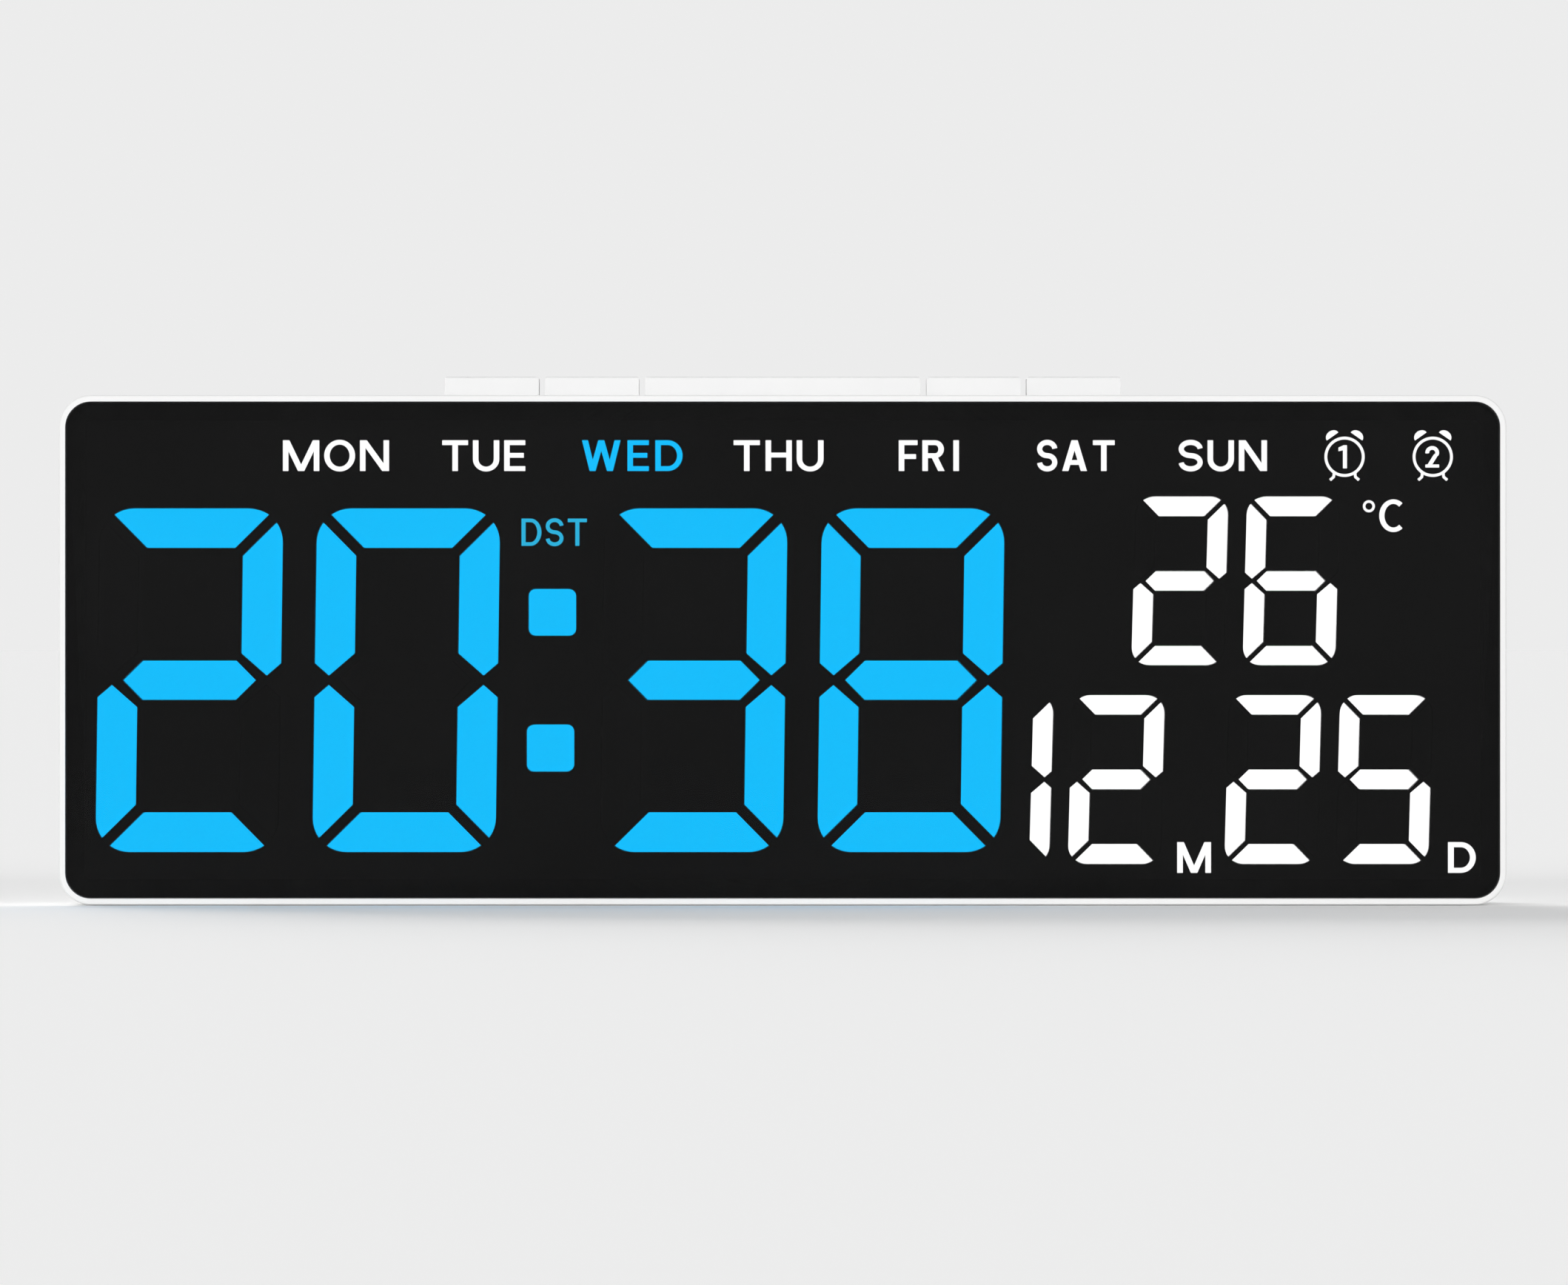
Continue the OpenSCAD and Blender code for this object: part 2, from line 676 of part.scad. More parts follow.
// The housing's outline, drawn in by a distance
module outline(inset) {
  translate([0, mid_z])
    rounded(body_w - 2 * inset, body_h - 2 * inset, max(corner_r - inset, least_r));
}

module ring(outer, inner) {
  difference() {
    outline(outer);
    outline(inner);
  }
}

// Section through an edge with its front and rear corners rounded
module edge_section(reach, d, front_r, back_r) {
  translate([0, front_r]) square([reach, d - front_r - back_r]);
  square([reach - front_r, d / 2]);
  translate([0, d / 2]) square([reach - back_r, d / 2]);
  if (front_r > 0) translate([reach - front_r, front_r]) circle(front_r);
  if (back_r > 0) translate([reach - back_r, d - back_r]) circle(back_r);
}

// The housing's solid outer form between two depths, with rounded front or rear edges
module soft_block(y, d, front_r, back_r) {
  half_w = body_w / 2 - corner_r;
  half_h = body_h / 2 - corner_r;
  translate([0, y, mid_z]) {
    translate([-half_w, 0, -half_h]) cube([2 * half_w, d, 2 * half_h]);
    for (sx = [0, 1]) mirror([sx, 0, 0]) {
      translate([half_w, 0, -half_h])
        linear_extrude(height = 2 * half_h) edge_section(corner_r, d, front_r, back_r);
      for (sz = [0, 1]) mirror([0, 0, sz])
        translate([half_w, 0, -half_h]) rotate([-90, 0, 0])
          rotate_extrude(angle = 90) edge_section(corner_r, d, front_r, back_r);
    }
    for (sz = [0, 1]) mirror([0, 0, sz])
      translate([0, 0, half_h]) rotate([0, -90, 0])
        linear_extrude(height = 2 * half_w, center = true)
          edge_section(corner_r, d, front_r, back_r);
  }
}

// A digit style with every bar grown by a clearance
function grown(s, c) = [
  s[0] + 2 * c, s[1] + 2 * c, s[2] + 2 * c, s[3] - 2 * c, s[4] + c, s[5] + c, s[6]
];

// Corner arc of a bar from its mitred tip, as distances from the digit's side and end
function corner_arc(r, gap) =
  let (tip = acos(gap / (2 * r)) - 45)
  [for (i = [0:arc_steps]) let (p = tip * (1 - i / arc_steps)) [r - r * sin(p), r - r * cos(p)]];

function end_bar(s) =
  let (a = s[0] / 2, b = s[1] / 2, arc = corner_arc(s[4], s[3]), inner = s[2] + s[3] / sqrt(2))
  concat(
    [for (p = arc) [p[0] - a, b - p[1]]],
    [for (i = [arc_steps:-1:0]) [a - arc[i][0], b - arc[i][1]]],
    [[a - inner, b - s[2]], [inner - a, b - s[2]]]
  );

function side_bar(s) =
  let (
    a = s[0] / 2, b = s[1] / 2, t = s[2], joint = s[5],
    lift = joint_share * s[3], slope = tan(joint_slope)
  )
  concat(
    [for (p = corner_arc(s[4], s[3])) [a - p[1], b - p[0]]],
    [
      [a, lift + joint * slope], [a - joint, lift],
      [a - t, lift + (t - joint) * slope], [a - t, b - t - s[3] / sqrt(2)]
    ]
  );

function middle_bar(s) =
  let (
    tip = s[0] / 2 - s[5] - s[3] * (sqrt(2) - joint_share), half = s[2] / 2, back = tip - half
  )
  [[tip, 0], [back, half], [-back, half], [-tip, 0], [-back, -half], [back, -half]];

// Bars in order: top, upper right, lower right, bottom, lower left, upper left, middle
BAR_SIGNS = [[1, 1], [1, 1], [1, -1], [1, -1], [-1, -1], [-1, 1], [1, 1]];
function bar_points(s, i) =
  let (points = i == 6 ? middle_bar(s) : (i == 0 || i == 3) ? end_bar(s) : side_bar(s))
  [for (p = points) let (z = p[1] * BAR_SIGNS[i][1]) [p[0] * BAR_SIGNS[i][0] + z * tan(s[6]), z]];

// Middle of a bar, and the middle of one half of it
function bar_middle(s, i, shift) =
  let (
    level = i == 6 || i == 0 || i == 3,
    x = level ? shift * s[0] / 4 : s[0] / 2 - s[2] / 2,
    z = i == 6 ? 0 : level ? s[1] / 2 - s[2] / 2 : s[1] / 4 + shift * s[1] / 9,
    zs = z * BAR_SIGNS[i][1]
  )
  [x * BAR_SIGNS[i][0] + zs * tan(s[6]), zs];

module digit_outline(digit, grow) {
  for (i = digit[2]) translate(digit[1]) polygon(bar_points(grown(digit[0], grow), i));
}

module light_bars(digit) {
  slab(mask_y, bar_end - mask_y) digit_outline(digit, 0);
}

module dot_outlines(grow) {
  w = evenly * dot_w + 2 * grow;
  for (p = DOTS) translate(p) rounded(w, w, evenly * dot_r + grow);
}

module bar_windows() {
  for (d = TIME_DIGITS) digit_outline(d, bar_gap);
  for (d = SMALL_DIGITS) digit_outline(d, bar_gap);
  dot_outlines(bar_gap);
}

module word_outlines(grow) {
  for (w = WORDS) translate([w[0], w[1]]) square([w[2] + 2 * grow, w[3] + 2 * grow], center = true);
}

// Room for a boss that runs through the display stack, open to the nearer long side
module boss_notch(p, r) {
  side = p[1] > mid_z ? body_h : 0;
  translate(p) circle(r);
  translate([p[0] - r, min(p[1], side)]) square([2 * r, abs(side - p[1])]);
}

// A boss with a pilot hole, tied by a rib to the nearer long wall
module frame_boss(p, r, y, end) {
  side = p[1] > mid_z ? body_h - wall + weld : wall - weld;
  slab(y, end - y) {
    translate(p) circle(r);
    translate([p[0] - boss_rib / 2, min(p[1], side)]) square([boss_rib, abs(side - p[1])]);
  }
}

// A crowned screw head with a cross, standing on z 0
module screw_head() {
  crown_r = (screw_head_r * screw_head_r + screw_crown * screw_crown) / (2 * screw_crown);
  difference() {
    intersection() {
      cylinder(r = screw_head_r, h = screw_head_h);
      translate([0, 0, screw_head_h - crown_r]) sphere(crown_r);
    }
    for (size = [[cross_l, cross_w], [cross_w, cross_l]])
      translate([-size[0] / 2, -size[1] / 2, screw_head_h - cross_d])
        cube([size[0], size[1], cross_d + cut]);
  }
}

// A screw whose head sits at y, driven towards -Y
module screw(x, y, z, reach) {
  along_y(x, y - reach, z) cylinder(r = screw_r, h = reach + weld);
  along_y(x, y, z) screw_head();
}

module key_slot() {
  translate([-key_row / 2 - key_slot_gap, key_y - key_slot_gap, wall_z - cut])
    cube([key_row + 2 * key_slot_gap, key_d + 2 * key_slot_gap, wall + 2 * cut]);
}

module front_frame() color("white") {
  pilot_r = screw_r + screw_gap;
  difference() {
    union() {
      difference() {
        soft_block(front_y, parting_y - front_y, rim_edge_r, 0);
        slab(front_y - cut, ledge_y - front_y + cut) outline(rim_w);
        slab(ledge_y - cut, ledge_t + 2 * cut) outline(ledge_w);
        slab(ledge_rear, parting_y - ledge_rear + cut) outline(wall);
        key_slot();
      }
      for (p = BOARD_BOSSES) frame_boss(p, board_boss_r, ledge_rear - weld, board_y);
      for (p = COVER_BOSSES) frame_boss(p, cover_boss_r, ledge_rear - weld, parting_y);
      for (s = [-1, 1])
        translate([s * key_post_x, key_mid_y, key_board_top])
          cylinder(r = key_post_r, h = wall_z + weld - key_board_top);
    }
    for (p = BOARD_BOSSES)
      along_y(p[0], board_y - screw_bite, p[1]) cylinder(r = pilot_r, h = screw_bite + cut);
    for (p = COVER_BOSSES)
      along_y(p[0], parting_y - screw_bite - cut, p[1])
        cylinder(r = pilot_r, h = screw_bite + 2 * cut);
    for (s = [-1, 1])
      translate([s * key_post_x, key_mid_y, key_board_top - cut])
        cylinder(r = pilot_r, h = key_screw_bite + 2 * cut);
  }
}

module front_lens() color([0.06, 0.06, 0.07, 0.5]) slab(lens_y, lens_t) outline(rim_w + lens_gap);

module lens_tape() color("black")
  slab(tape_y, tape_t) ring(rim_w + 2 * lens_gap, ledge_w);

module display_mask() color("#1c1c1e")
  slab(mask_y, mask_t) difference() {
    outline(ledge_w + stack_gap);
    bar_windows();
  }

module reflector() color("#202022") {
  difference() {
    union() {
      slab(reflector_y, reflector_d) outline(ledge_w + stack_gap);
      slab(ledge_rear + step_gap, board_y - ledge_rear - step_gap) outline(wall + stack_gap);
    }
    slab(reflector_y - cut, reflector_d + 2 * cut) {
      bar_windows();
      word_outlines(bar_gap);
    }
    slab(ledge_rear - weld - step_gap, board_y - ledge_rear + cut) {
      for (p = BOARD_BOSSES) boss_notch(p, board_boss_r + stack_gap);
      for (p = COVER_BOSSES) boss_notch(p, cover_boss_r + stack_gap);
    }
  }
}

module hour_tens_digit() color("deepskyblue") light_bars(HOUR_TENS);
module hour_units_digit() color("deepskyblue") light_bars(HOUR_UNITS);
module minute_tens_digit() color("deepskyblue") light_bars(MINUTE_TENS);
module minute_units_digit() color("deepskyblue") light_bars(MINUTE_UNITS);
module colon_dots() color("deepskyblue") slab(mask_y, bar_end - mask_y) dot_outlines(0);
module temperature_digits() color("white") for (d = TEMPERATURE) light_bars(d);
module month_digits() color("white") for (d = MONTH) light_bars(d);
module day_digits() color("white") for (d = DAY) light_bars(d);

module word_light_blocks() color("#e8e8e4")
  slab(reflector_y, bar_end - reflector_y) word_outlines(0);

module display_board() color("#d8d8d0")
  slab(board_y, board_t) difference() {
    outline(wall + stack_gap);
    for (p = COVER_BOSSES) boss_notch(p, cover_boss_r + stack_gap);
    for (p = BOARD_BOSSES) translate(p) circle(screw_r + screw_clear);
  }

module led_chip(p) {
  translate([p[0] - led_w / 2, board_y - led_h, p[1] - led_l / 2]) cube([led_w, led_h, led_l]);
}

module led_chips() color("khaki") {
  for (d = TIME_DIGITS, i = d[2], shift = [-1, 1]) led_chip(d[1] + bar_middle(d[0], i, shift));
  for (d = SMALL_DIGITS, i = d[2]) led_chip(d[1] + bar_middle(d[0], i, 0));
  for (p = DOTS) led_chip(p);
  for (w = WORDS) led_chip([w[0], w[1]]);
}

// A chip package on the rear of the display board
module package(x, z, w, h, t) {
  translate([x - w / 2, board_rear, z - h / 2]) cube([w, t, h]);
}

module controller_chip() color("#26262a")
  package(-chips_left, controller_z, controller_w, controller_w, controller_t);

module driver_chips() color("#26262a")
  for (s = [-1, 1])
    package(s * driver_pitch / 2 - chips_left, driver_z, driver_l, driver_w, driver_t);

module clock_crystal() color("silver")
  translate([0, board_rear + crystal_r, crystal_z]) rotate([0, 90, 0])
    cylinder(r = crystal_r, h = crystal_l, center = true);

module capacitor() color("#34465e")
  along_y(capacitor_x, board_rear, capacitor_z) cylinder(r = capacitor_r, h = capacitor_h);

module buzzer() color("#222226") difference() {
  along_y(buzzer_x, board_rear, buzzer_z) cylinder(r = buzzer_r, h = buzzer_h);
  along_y(buzzer_x, board_rear + buzzer_h - buzzer_hole_d, buzzer_z)
    cylinder(r = buzzer_hole_r, h = buzzer_hole_d + cut);
}

module temperature_sensor() color("darkolivegreen") {
  for (s = [-1, 1])
    along_y(sensor_x + s * sensor_lead_pitch / 2, board_rear, sensor_z)
      cylinder(r = sensor_lead_r, h = sensor_lead_l);
  translate([sensor_x, board_rear + sensor_lead_l + sensor_r / 2, sensor_z]) sphere(sensor_r);
}

module board_screws() color("silver")
  for (p = BOARD_BOSSES) screw(p[0], board_rear, p[1], board_t + screw_bite - cut);

module cap_profile(w, h, r) {
  translate([-w / 2, 0]) square([w, h - r]);
  translate([-w / 2 + r, 0]) square([w - 2 * r, h]);
  for (s = [-1, 1]) translate([s * (w / 2 - r), h - r]) circle(r);
}

// A key with rounded top edges, a flange under the top wall and a stem over its switch
module key(x, w) {
  cap_h = body_h + key_rise - flange_top;
  translate([x, key_mid_y, flange_top]) intersection() {
    rotate([90, 0, 0]) linear_extrude(height = key_d, center = true)
      cap_profile(w, cap_h, key_edge_r);
    rotate([90, 0, 90]) linear_extrude(height = w + cut, center = true)
      cap_profile(key_d, cap_h, key_edge_r);
  }
  flange_d = key_d + 2 * (key_slot_gap + key_flange);
  translate([x - w / 2, key_mid_y - flange_d / 2, flange_low]) cube([w, flange_d, key_flange_t]);
  translate([x, key_mid_y, plunger_top]) cylinder(r = key_stem_r, h = stem_l + weld);
}

module plunger(x) color("black")
  translate([x, key_mid_y, switch_top - plunger_sunk])
    cylinder(r = plunger_r, h = plunger_sunk + plunger_rise);

module mode_key() color("#f4f4f2") key(KEY_X[0], key_w);
module alarm_key() color("#f4f4f2") key(KEY_X[1], key_w);
module snooze_key() color("#f4f4f2") key(KEY_X[2], snooze_w);
module minus_key() color("#f4f4f2") key(KEY_X[3], key_w);
module plus_key() color("#f4f4f2") key(KEY_X[4], key_w);
module mode_plunger() plunger(KEY_X[0]);
module alarm_plunger() plunger(KEY_X[1]);
module snooze_plunger() plunger(KEY_X[2]);
module minus_plunger() plunger(KEY_X[3]);
module plus_plunger() plunger(KEY_X[4]);

module key_switches() color("silver") {
  sunk = plunger_sunk + key_travel + 2 * plunger_gap;
  for (x = KEY_X) difference() {
    translate([x - switch_w / 2, key_mid_y - switch_w / 2, key_board_top])
      cube([switch_w, switch_w, switch_h]);
    translate([x, key_mid_y, switch_top - sunk])
      cylinder(r = plunger_r + plunger_gap, h = sunk + cut);
  }
}

module key_board() color("seagreen") difference() {
  translate([-key_board_w / 2, key_board_y, key_board_low])
    cube([key_board_w, key_board_d, key_board_t]);
  for (s = [-1, 1])
    translate([s * key_post_x, key_mid_y, key_board_low - cut])
      cylinder(r = screw_r + screw_clear, h = key_board_t + 2 * cut);
}

module key_board_screws() color("silver")
  for (s = [-1, 1]) translate([s * key_post_x, key_mid_y, key_board_low]) {
    mirror([0, 0, 1]) screw_head();
    translate([0, 0, -weld]) cylinder(r = screw_r, h = key_board_t + key_screw_bite + weld);
  }

// Angled pins in a bar, from the display board up to the key board
module key_header() color("#2a2a2e") {
  pins = 7;
  pin_pitch = 2.54;
  pin_w = 0.64;
  bar_h = 2.5;
  bar_d = 1.4;
  pin_z = key_board_low - 2.2;
  pin_y = key_board_y + 1.2;
  translate([-pins * pin_pitch / 2, board_rear, pin_z - bar_h / 2])
    cube([pins * pin_pitch, bar_d, bar_h]);
  for (i = [0:pins - 1]) translate([(i - (pins - 1) / 2) * pin_pitch - pin_w / 2, 0, 0]) {
    translate([0, board_rear, pin_z - pin_w / 2]) cube([pin_w, pin_y + pin_w - board_rear, pin_w]);
    translate([0, pin_y, pin_z - pin_w / 2]) cube([pin_w, pin_w, key_board_low - pin_z + pin_w / 2]);
  }
}

module keyhole_outline() {
  for (s = [-1, 1]) translate([s * keyhole_x, keyhole_z]) {
    circle(keyhole_r);
    translate([-keyhole_slot / 2, 0]) square([keyhole_slot, keyhole_l]);
    translate([0, keyhole_l]) circle(keyhole_slot / 2);
  }
}

module sound_outline() {
  for (i = [0:sound_slots - 1]) {
    z = buzzer_z + (i - (sound_slots - 1) / 2) * sound_pitch;
    translate([buzzer_x, z]) slot(sound_slot_l, sound_slot_w);
  }
}

module usb_outline(grow) {
  translate([usb_x, usb_z]) slot(usb_w + 2 * grow, usb_h + 2 * grow);
}

// Two grooved rails that carry the power board behind the plate
module power_rails() {
  low = power_low - rail_gap - rail_t;
  high = power_top + rail_gap + rail_t;
  rail_w = rail_t + rail_grip;
  rail_x = (power_w + rail_t - rail_grip) / 2;
  difference() {
    for (s = [-1, 1])
      translate([usb_x + s * rail_x - rail_w / 2, power_y, low])
        cube([rail_w, power_l + weld, high - low]);
    translate([usb_x - power_w / 2 - rail_gap, power_y - cut, power_low - rail_gap])
      cube([power_w + 2 * rail_gap, power_l + cut, power_t + 2 * rail_gap]);
  }
}

// Flat part of a ring between two radii, from a turn over a span in degrees
module ring_part(inner, outer, turn, span) {
  far = 2 * outer;
  intersection() {
    difference() {
      circle(outer);
      circle(inner);
    }
    polygon(concat([[0, 0]], [
      for (i = [0:sector_steps]) let (a = turn + span * i / sector_steps) [far * cos(a), far * sin(a)]
    ]));
  }
}

module cell_sector(y, d, inner, outer, turn, span) {
  along_y(coin_x, y, coin_z) linear_extrude(height = d) ring_part(inner, outer, turn, span);
}

// Space in the cell's cup, with the door's recess and, for each lug, a track and its way in
module cup_cuts() {
  along_y(coin_x, door_y - door_gap, coin_z) cylinder(r = door_r + door_gap, h = rear_y);
  along_y(coin_x, cup_y, coin_z) cylinder(r = bore_r, h = rear_y);
  pocket_w = contact_w + 2 * coin_gap;
  translate([coin_x - pocket_w / 2, cup_y, coin_z])
    cube([pocket_w, cell_rear - cup_y, bore_r + contact_pocket]);
  track_y = skirt_y - lug_gap;
  track_r = lug_r + door_gap;
  inner = bore_r - weld;
  way_in = lug_slack * 2 / 3;
  for (half = [0, 180]) {
    start = half - lug_span / 2 - lug_slack;
    cell_sector(track_y, lug_h + 2 * lug_gap, inner, track_r + lug_gap, start,
      lug_span + door_turn + 2 * lug_slack);
    cell_sector(track_y + lug_gap, door_y - track_y, inner, track_r,
      start + door_turn + lug_slack - way_in, lug_span + 2 * way_in);
  }
}

module stand_recess() {
  w = leg_w + 2 * leg_gap;
  slab(recess_y, rear_y) {
    translate([-w / 2, recess_low]) square([w, recess_top - recess_low]);
    for (s = [-1, 1]) translate([s * w / 2, scoop_z]) circle(scoop_r);
  }
}

module stand_tub() {
  w = leg_w + 2 * leg_gap + 2 * recess_floor;
  slab(recess_y - recess_floor, recess_floor + plate_t) {
    translate([-w / 2, recess_low]) square([w, recess_top + recess_floor - recess_low]);
    for (s = [-1, 1]) translate([s * ear_x, scoop_z]) circle(scoop_r + recess_floor);
  }
  for (s = [0, 1]) mirror([s, 0, 0])
    translate([ear_x, recess_y - recess_floor, leg_z - ear_h / 2])
      cube([ear_l + recess_floor, plate_y + weld - recess_y + recess_floor, ear_h]);
}

module cover_lip() {
  difference() {
    slab(parting_y - lip_l, lip_l + cut) ring(wall + lip_gap, cover_in);
    translate([-key_board_w / 2, parting_y - lip_l - cut, mid_z])
      cube([key_board_w, lip_l + cut, body_h]);
    slab(parting_y - lip_l - cut, lip_l + cut)
      for (p = COVER_BOSSES) boss_notch(p, cover_boss_r + stack_gap);
  }
}

module rear_cover() color("#f2f2f0") {
  head_hole = screw_head_r + screw_clear;
  seat_y = parting_y + cover_seat;
  difference() {
    union() {
      difference() {
        soft_block(parting_y, cover_d, 0, rear_edge_r);
        slab(parting_y - cut, plate_y - parting_y + cut) outline(cover_in);
      }
      cover_lip();
      slab(parting_y, cover_d - rear_edge_r)
        for (p = COVER_BOSSES) translate(p) circle(head_hole + head_wall);
      along_y(coin_x, cup_y - cup_floor, coin_z)
        cylinder(r = cup_r, h = plate_y + weld - cup_y + cup_floor);
      stand_tub();
      power_rails();
    }
    for (p = COVER_BOSSES) {
      along_y(p[0], parting_y - cut, p[1]) cylinder(r = screw_r + screw_clear, h = cover_d);
      along_y(p[0], seat_y, p[1]) cylinder(r = head_hole, h = cover_d);
    }
    cup_cuts();
    stand_recess();
    translate([-ear_x - ear_l - ear_pin_gap, leg_pin_y, leg_z]) rotate([0, 90, 0])
      cylinder(r = leg_pin_r + ear_pin_gap, h = 2 * (ear_x + ear_l + ear_pin_gap));
    slab(plate_y - cut, plate_t + 2 * cut) {
      keyhole_outline();
      sound_outline();
      usb_outline(usb_gap);
    }
  }
}

module cover_screws() color("silver")
  for (p = COVER_BOSSES) screw(p[0], parting_y + cover_seat, p[1], cover_seat + screw_bite);

module power_board() color("seagreen")
  translate([usb_x - power_w / 2, power_y, power_low]) cube([power_w, power_l - rail_gap, power_t]);

module usb_socket() color("silver") difference() {
  slab(usb_y, usb_l) usb_outline(0);
  slab(usb_y + usb_floor, usb_l) usb_outline(-usb_shell);
}

module usb_tongue() color("#18181a")
  translate([usb_x - tongue_w / 2, usb_y + usb_floor, usb_z - tongue_t / 2])
    cube([tongue_w, tongue_l, tongue_t]);

// Two leads from the display board, turned up to the power board
module power_leads() color("firebrick")
  for (s = [-1, 1]) translate([usb_x + s * lead_pitch / 2, 0, lead_z]) {
    along_y(0, board_rear, 0) cylinder(r = lead_r, h = lead_y - board_rear);
    translate([0, lead_y, lead_bend]) rotate([0, 90, 0])
      rotate_extrude(angle = 90) translate([lead_bend, 0]) circle(lead_r);
    translate([0, lead_y + lead_bend, lead_bend])
      cylinder(r = lead_r, h = power_low - lead_z - lead_bend);
  }

module coin_cell() color("gainsboro") {
  along_y(coin_x, cell_y + cell_step, coin_z) cylinder(r = coin_r, h = coin_t - cell_step);
  along_y(coin_x, cell_y, coin_z) cylinder(r = coin_r - cell_rim, h = coin_t);
}

// A leaf under the cell with a raised contact, and a leaf beside the cell's rim
module cell_contacts() color("goldenrod") {
  translate([coin_x - contact_w / 2, cup_y, coin_z + coin_r + contact_gap])
    cube([contact_w, coin_t, contact_t]);
  translate([coin_x - contact_l / 2, cup_y, coin_z - contact_w / 2])
    cube([contact_l, contact_t, contact_w]);
  along_y(coin_x, cup_y, coin_z) cylinder(r = contact_r, h = contact_space - contact_gap);
}

module coin_door() color("#f2f2f0") difference() {
  union() {
    along_y(coin_x, door_y, coin_z) cylinder(r = door_r, h = door_t);
    difference() {
      along_y(coin_x, skirt_y, coin_z) cylinder(r = skirt_r, h = skirt_h + weld);
      along_y(coin_x, skirt_y - cut, coin_z) cylinder(r = skirt_r - skirt_t, h = skirt_h + cut);
    }
    for (half = [0, 180])
      cell_sector(skirt_y, lug_h, skirt_r - weld, lug_r, half - lug_span / 2, lug_span);
  }
  translate([coin_x - coin_slot_l / 2, rear_y - door_sink - coin_slot_d, coin_z - coin_slot_w / 2])
    cube([coin_slot_l, coin_slot_d + cut, coin_slot_w]);
}

// A plate with a round eye about its pin, and a shallow panel in its outer face
module stand_leg() color("#f2f2f0") difference() {
  union() {
    slab(leg_y, leg_t) {
      translate([-leg_w / 2, leg_z - leg_l + leg_r]) square([leg_w, leg_l - leg_r]);
      translate([-leg_w / 2 + leg_r, leg_z - leg_l]) square([leg_w - 2 * leg_r, leg_l]);
      for (s = [-1, 1]) translate([s * (leg_w / 2 - leg_r), leg_z - leg_l + leg_r]) circle(leg_r);
    }
    translate([-leg_w / 2, leg_pin_y, leg_z]) rotate([0, 90, 0]) cylinder(r = leg_t / 2, h = leg_w);
  }
  slab(leg_y + leg_t - leg_panel_d, leg_t) translate([0, leg_z - leg_l / 2])
    rounded(leg_w - 2 * leg_bar, leg_l - 2 * leg_bar, leg_r / 2);
  translate([-leg_w / 2 - cut, leg_pin_y, leg_z]) rotate([0, 90, 0])
    cylinder(r = leg_pin_r + leg_pin_gap, h = leg_w + 2 * cut);
}

module stand_pin() color("silver")
  translate([-ear_x - ear_l, leg_pin_y, leg_z]) rotate([0, 90, 0])
    cylinder(r = leg_pin_r, h = 2 * (ear_x + ear_l));

front_frame();
front_lens();
lens_tape();
display_mask();
reflector();
hour_tens_digit();
hour_units_digit();
colon_dots();
minute_tens_digit();
minute_units_digit();
temperature_digits();
month_digits();
day_digits();
word_light_blocks();
display_board();
led_chips();
controller_chip();
driver_chips();
clock_crystal();
capacitor();
buzzer();
temperature_sensor();
board_screws();
mode_key();
alarm_key();
snooze_key();
minus_key();
plus_key();
mode_plunger();
alarm_plunger();
snooze_plunger();
minus_plunger();
plus_plunger();
key_switches();
key_board();
key_board_screws();
key_header();
rear_cover();
cover_screws();
power_board();
usb_socket();
usb_tongue();
power_leads();
coin_cell();
cell_contacts();
coin_door();
stand_leg();
stand_pin();
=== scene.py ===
# Digital alarm clock: materials, display lettering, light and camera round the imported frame.
import math

import bmesh
import bpy
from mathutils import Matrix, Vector
from mathutils.geometry import delaunay_2d_cdt


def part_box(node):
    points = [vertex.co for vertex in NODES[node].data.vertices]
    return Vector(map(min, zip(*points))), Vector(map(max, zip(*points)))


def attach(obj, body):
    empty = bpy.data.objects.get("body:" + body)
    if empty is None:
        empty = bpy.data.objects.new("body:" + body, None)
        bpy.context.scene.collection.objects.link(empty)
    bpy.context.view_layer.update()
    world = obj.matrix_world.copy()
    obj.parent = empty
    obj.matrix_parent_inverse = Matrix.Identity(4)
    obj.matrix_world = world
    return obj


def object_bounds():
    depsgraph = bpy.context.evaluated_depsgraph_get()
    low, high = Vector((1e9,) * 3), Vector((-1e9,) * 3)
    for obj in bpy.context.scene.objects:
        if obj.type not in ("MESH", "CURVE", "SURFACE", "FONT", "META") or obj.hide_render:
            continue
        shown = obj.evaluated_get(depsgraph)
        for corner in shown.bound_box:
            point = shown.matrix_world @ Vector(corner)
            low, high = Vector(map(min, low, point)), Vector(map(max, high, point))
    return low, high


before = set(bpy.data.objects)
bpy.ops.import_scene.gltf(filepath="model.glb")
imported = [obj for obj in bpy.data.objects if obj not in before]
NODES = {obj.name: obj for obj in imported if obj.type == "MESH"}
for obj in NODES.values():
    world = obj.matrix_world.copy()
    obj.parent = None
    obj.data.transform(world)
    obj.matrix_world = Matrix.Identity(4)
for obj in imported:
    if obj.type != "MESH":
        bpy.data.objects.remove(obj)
CAD_BOX = [list(corner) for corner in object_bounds()]
SCENE = bpy.context.scene
MM = 0.001


# Materials

# The part of a noise's range that tint and gloss spread over, and the detail of the noises
TINT_SPAN = (0.32, 0.68)
GLOSS_SPAN = (0.3, 0.7)
CLOUD_DETAIL = 3.0
GRAIN_DETAIL = 2.0
# The painted shade of the gap where the frame and the cover meet: its place, half its width in mm and its
# tint
SEAM_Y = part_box("front_frame")[1].y
SEAM_HALF = 0.11
SEAM_SHADE_TINT = 0.32


def grey(level):
    """A neutral colour."""
    return (level, level, level)


def shader_of(name, **values):
    """A new node material and its shader, with constant values set on the shader's own sockets."""
    look = bpy.data.materials.new(name)
    look.use_nodes = True
    shader = look.node_tree.nodes["Principled BSDF"]
    for socket, value in values.items():
        shader.inputs[socket.replace("_", " ")].default_value = value
    return look, shader


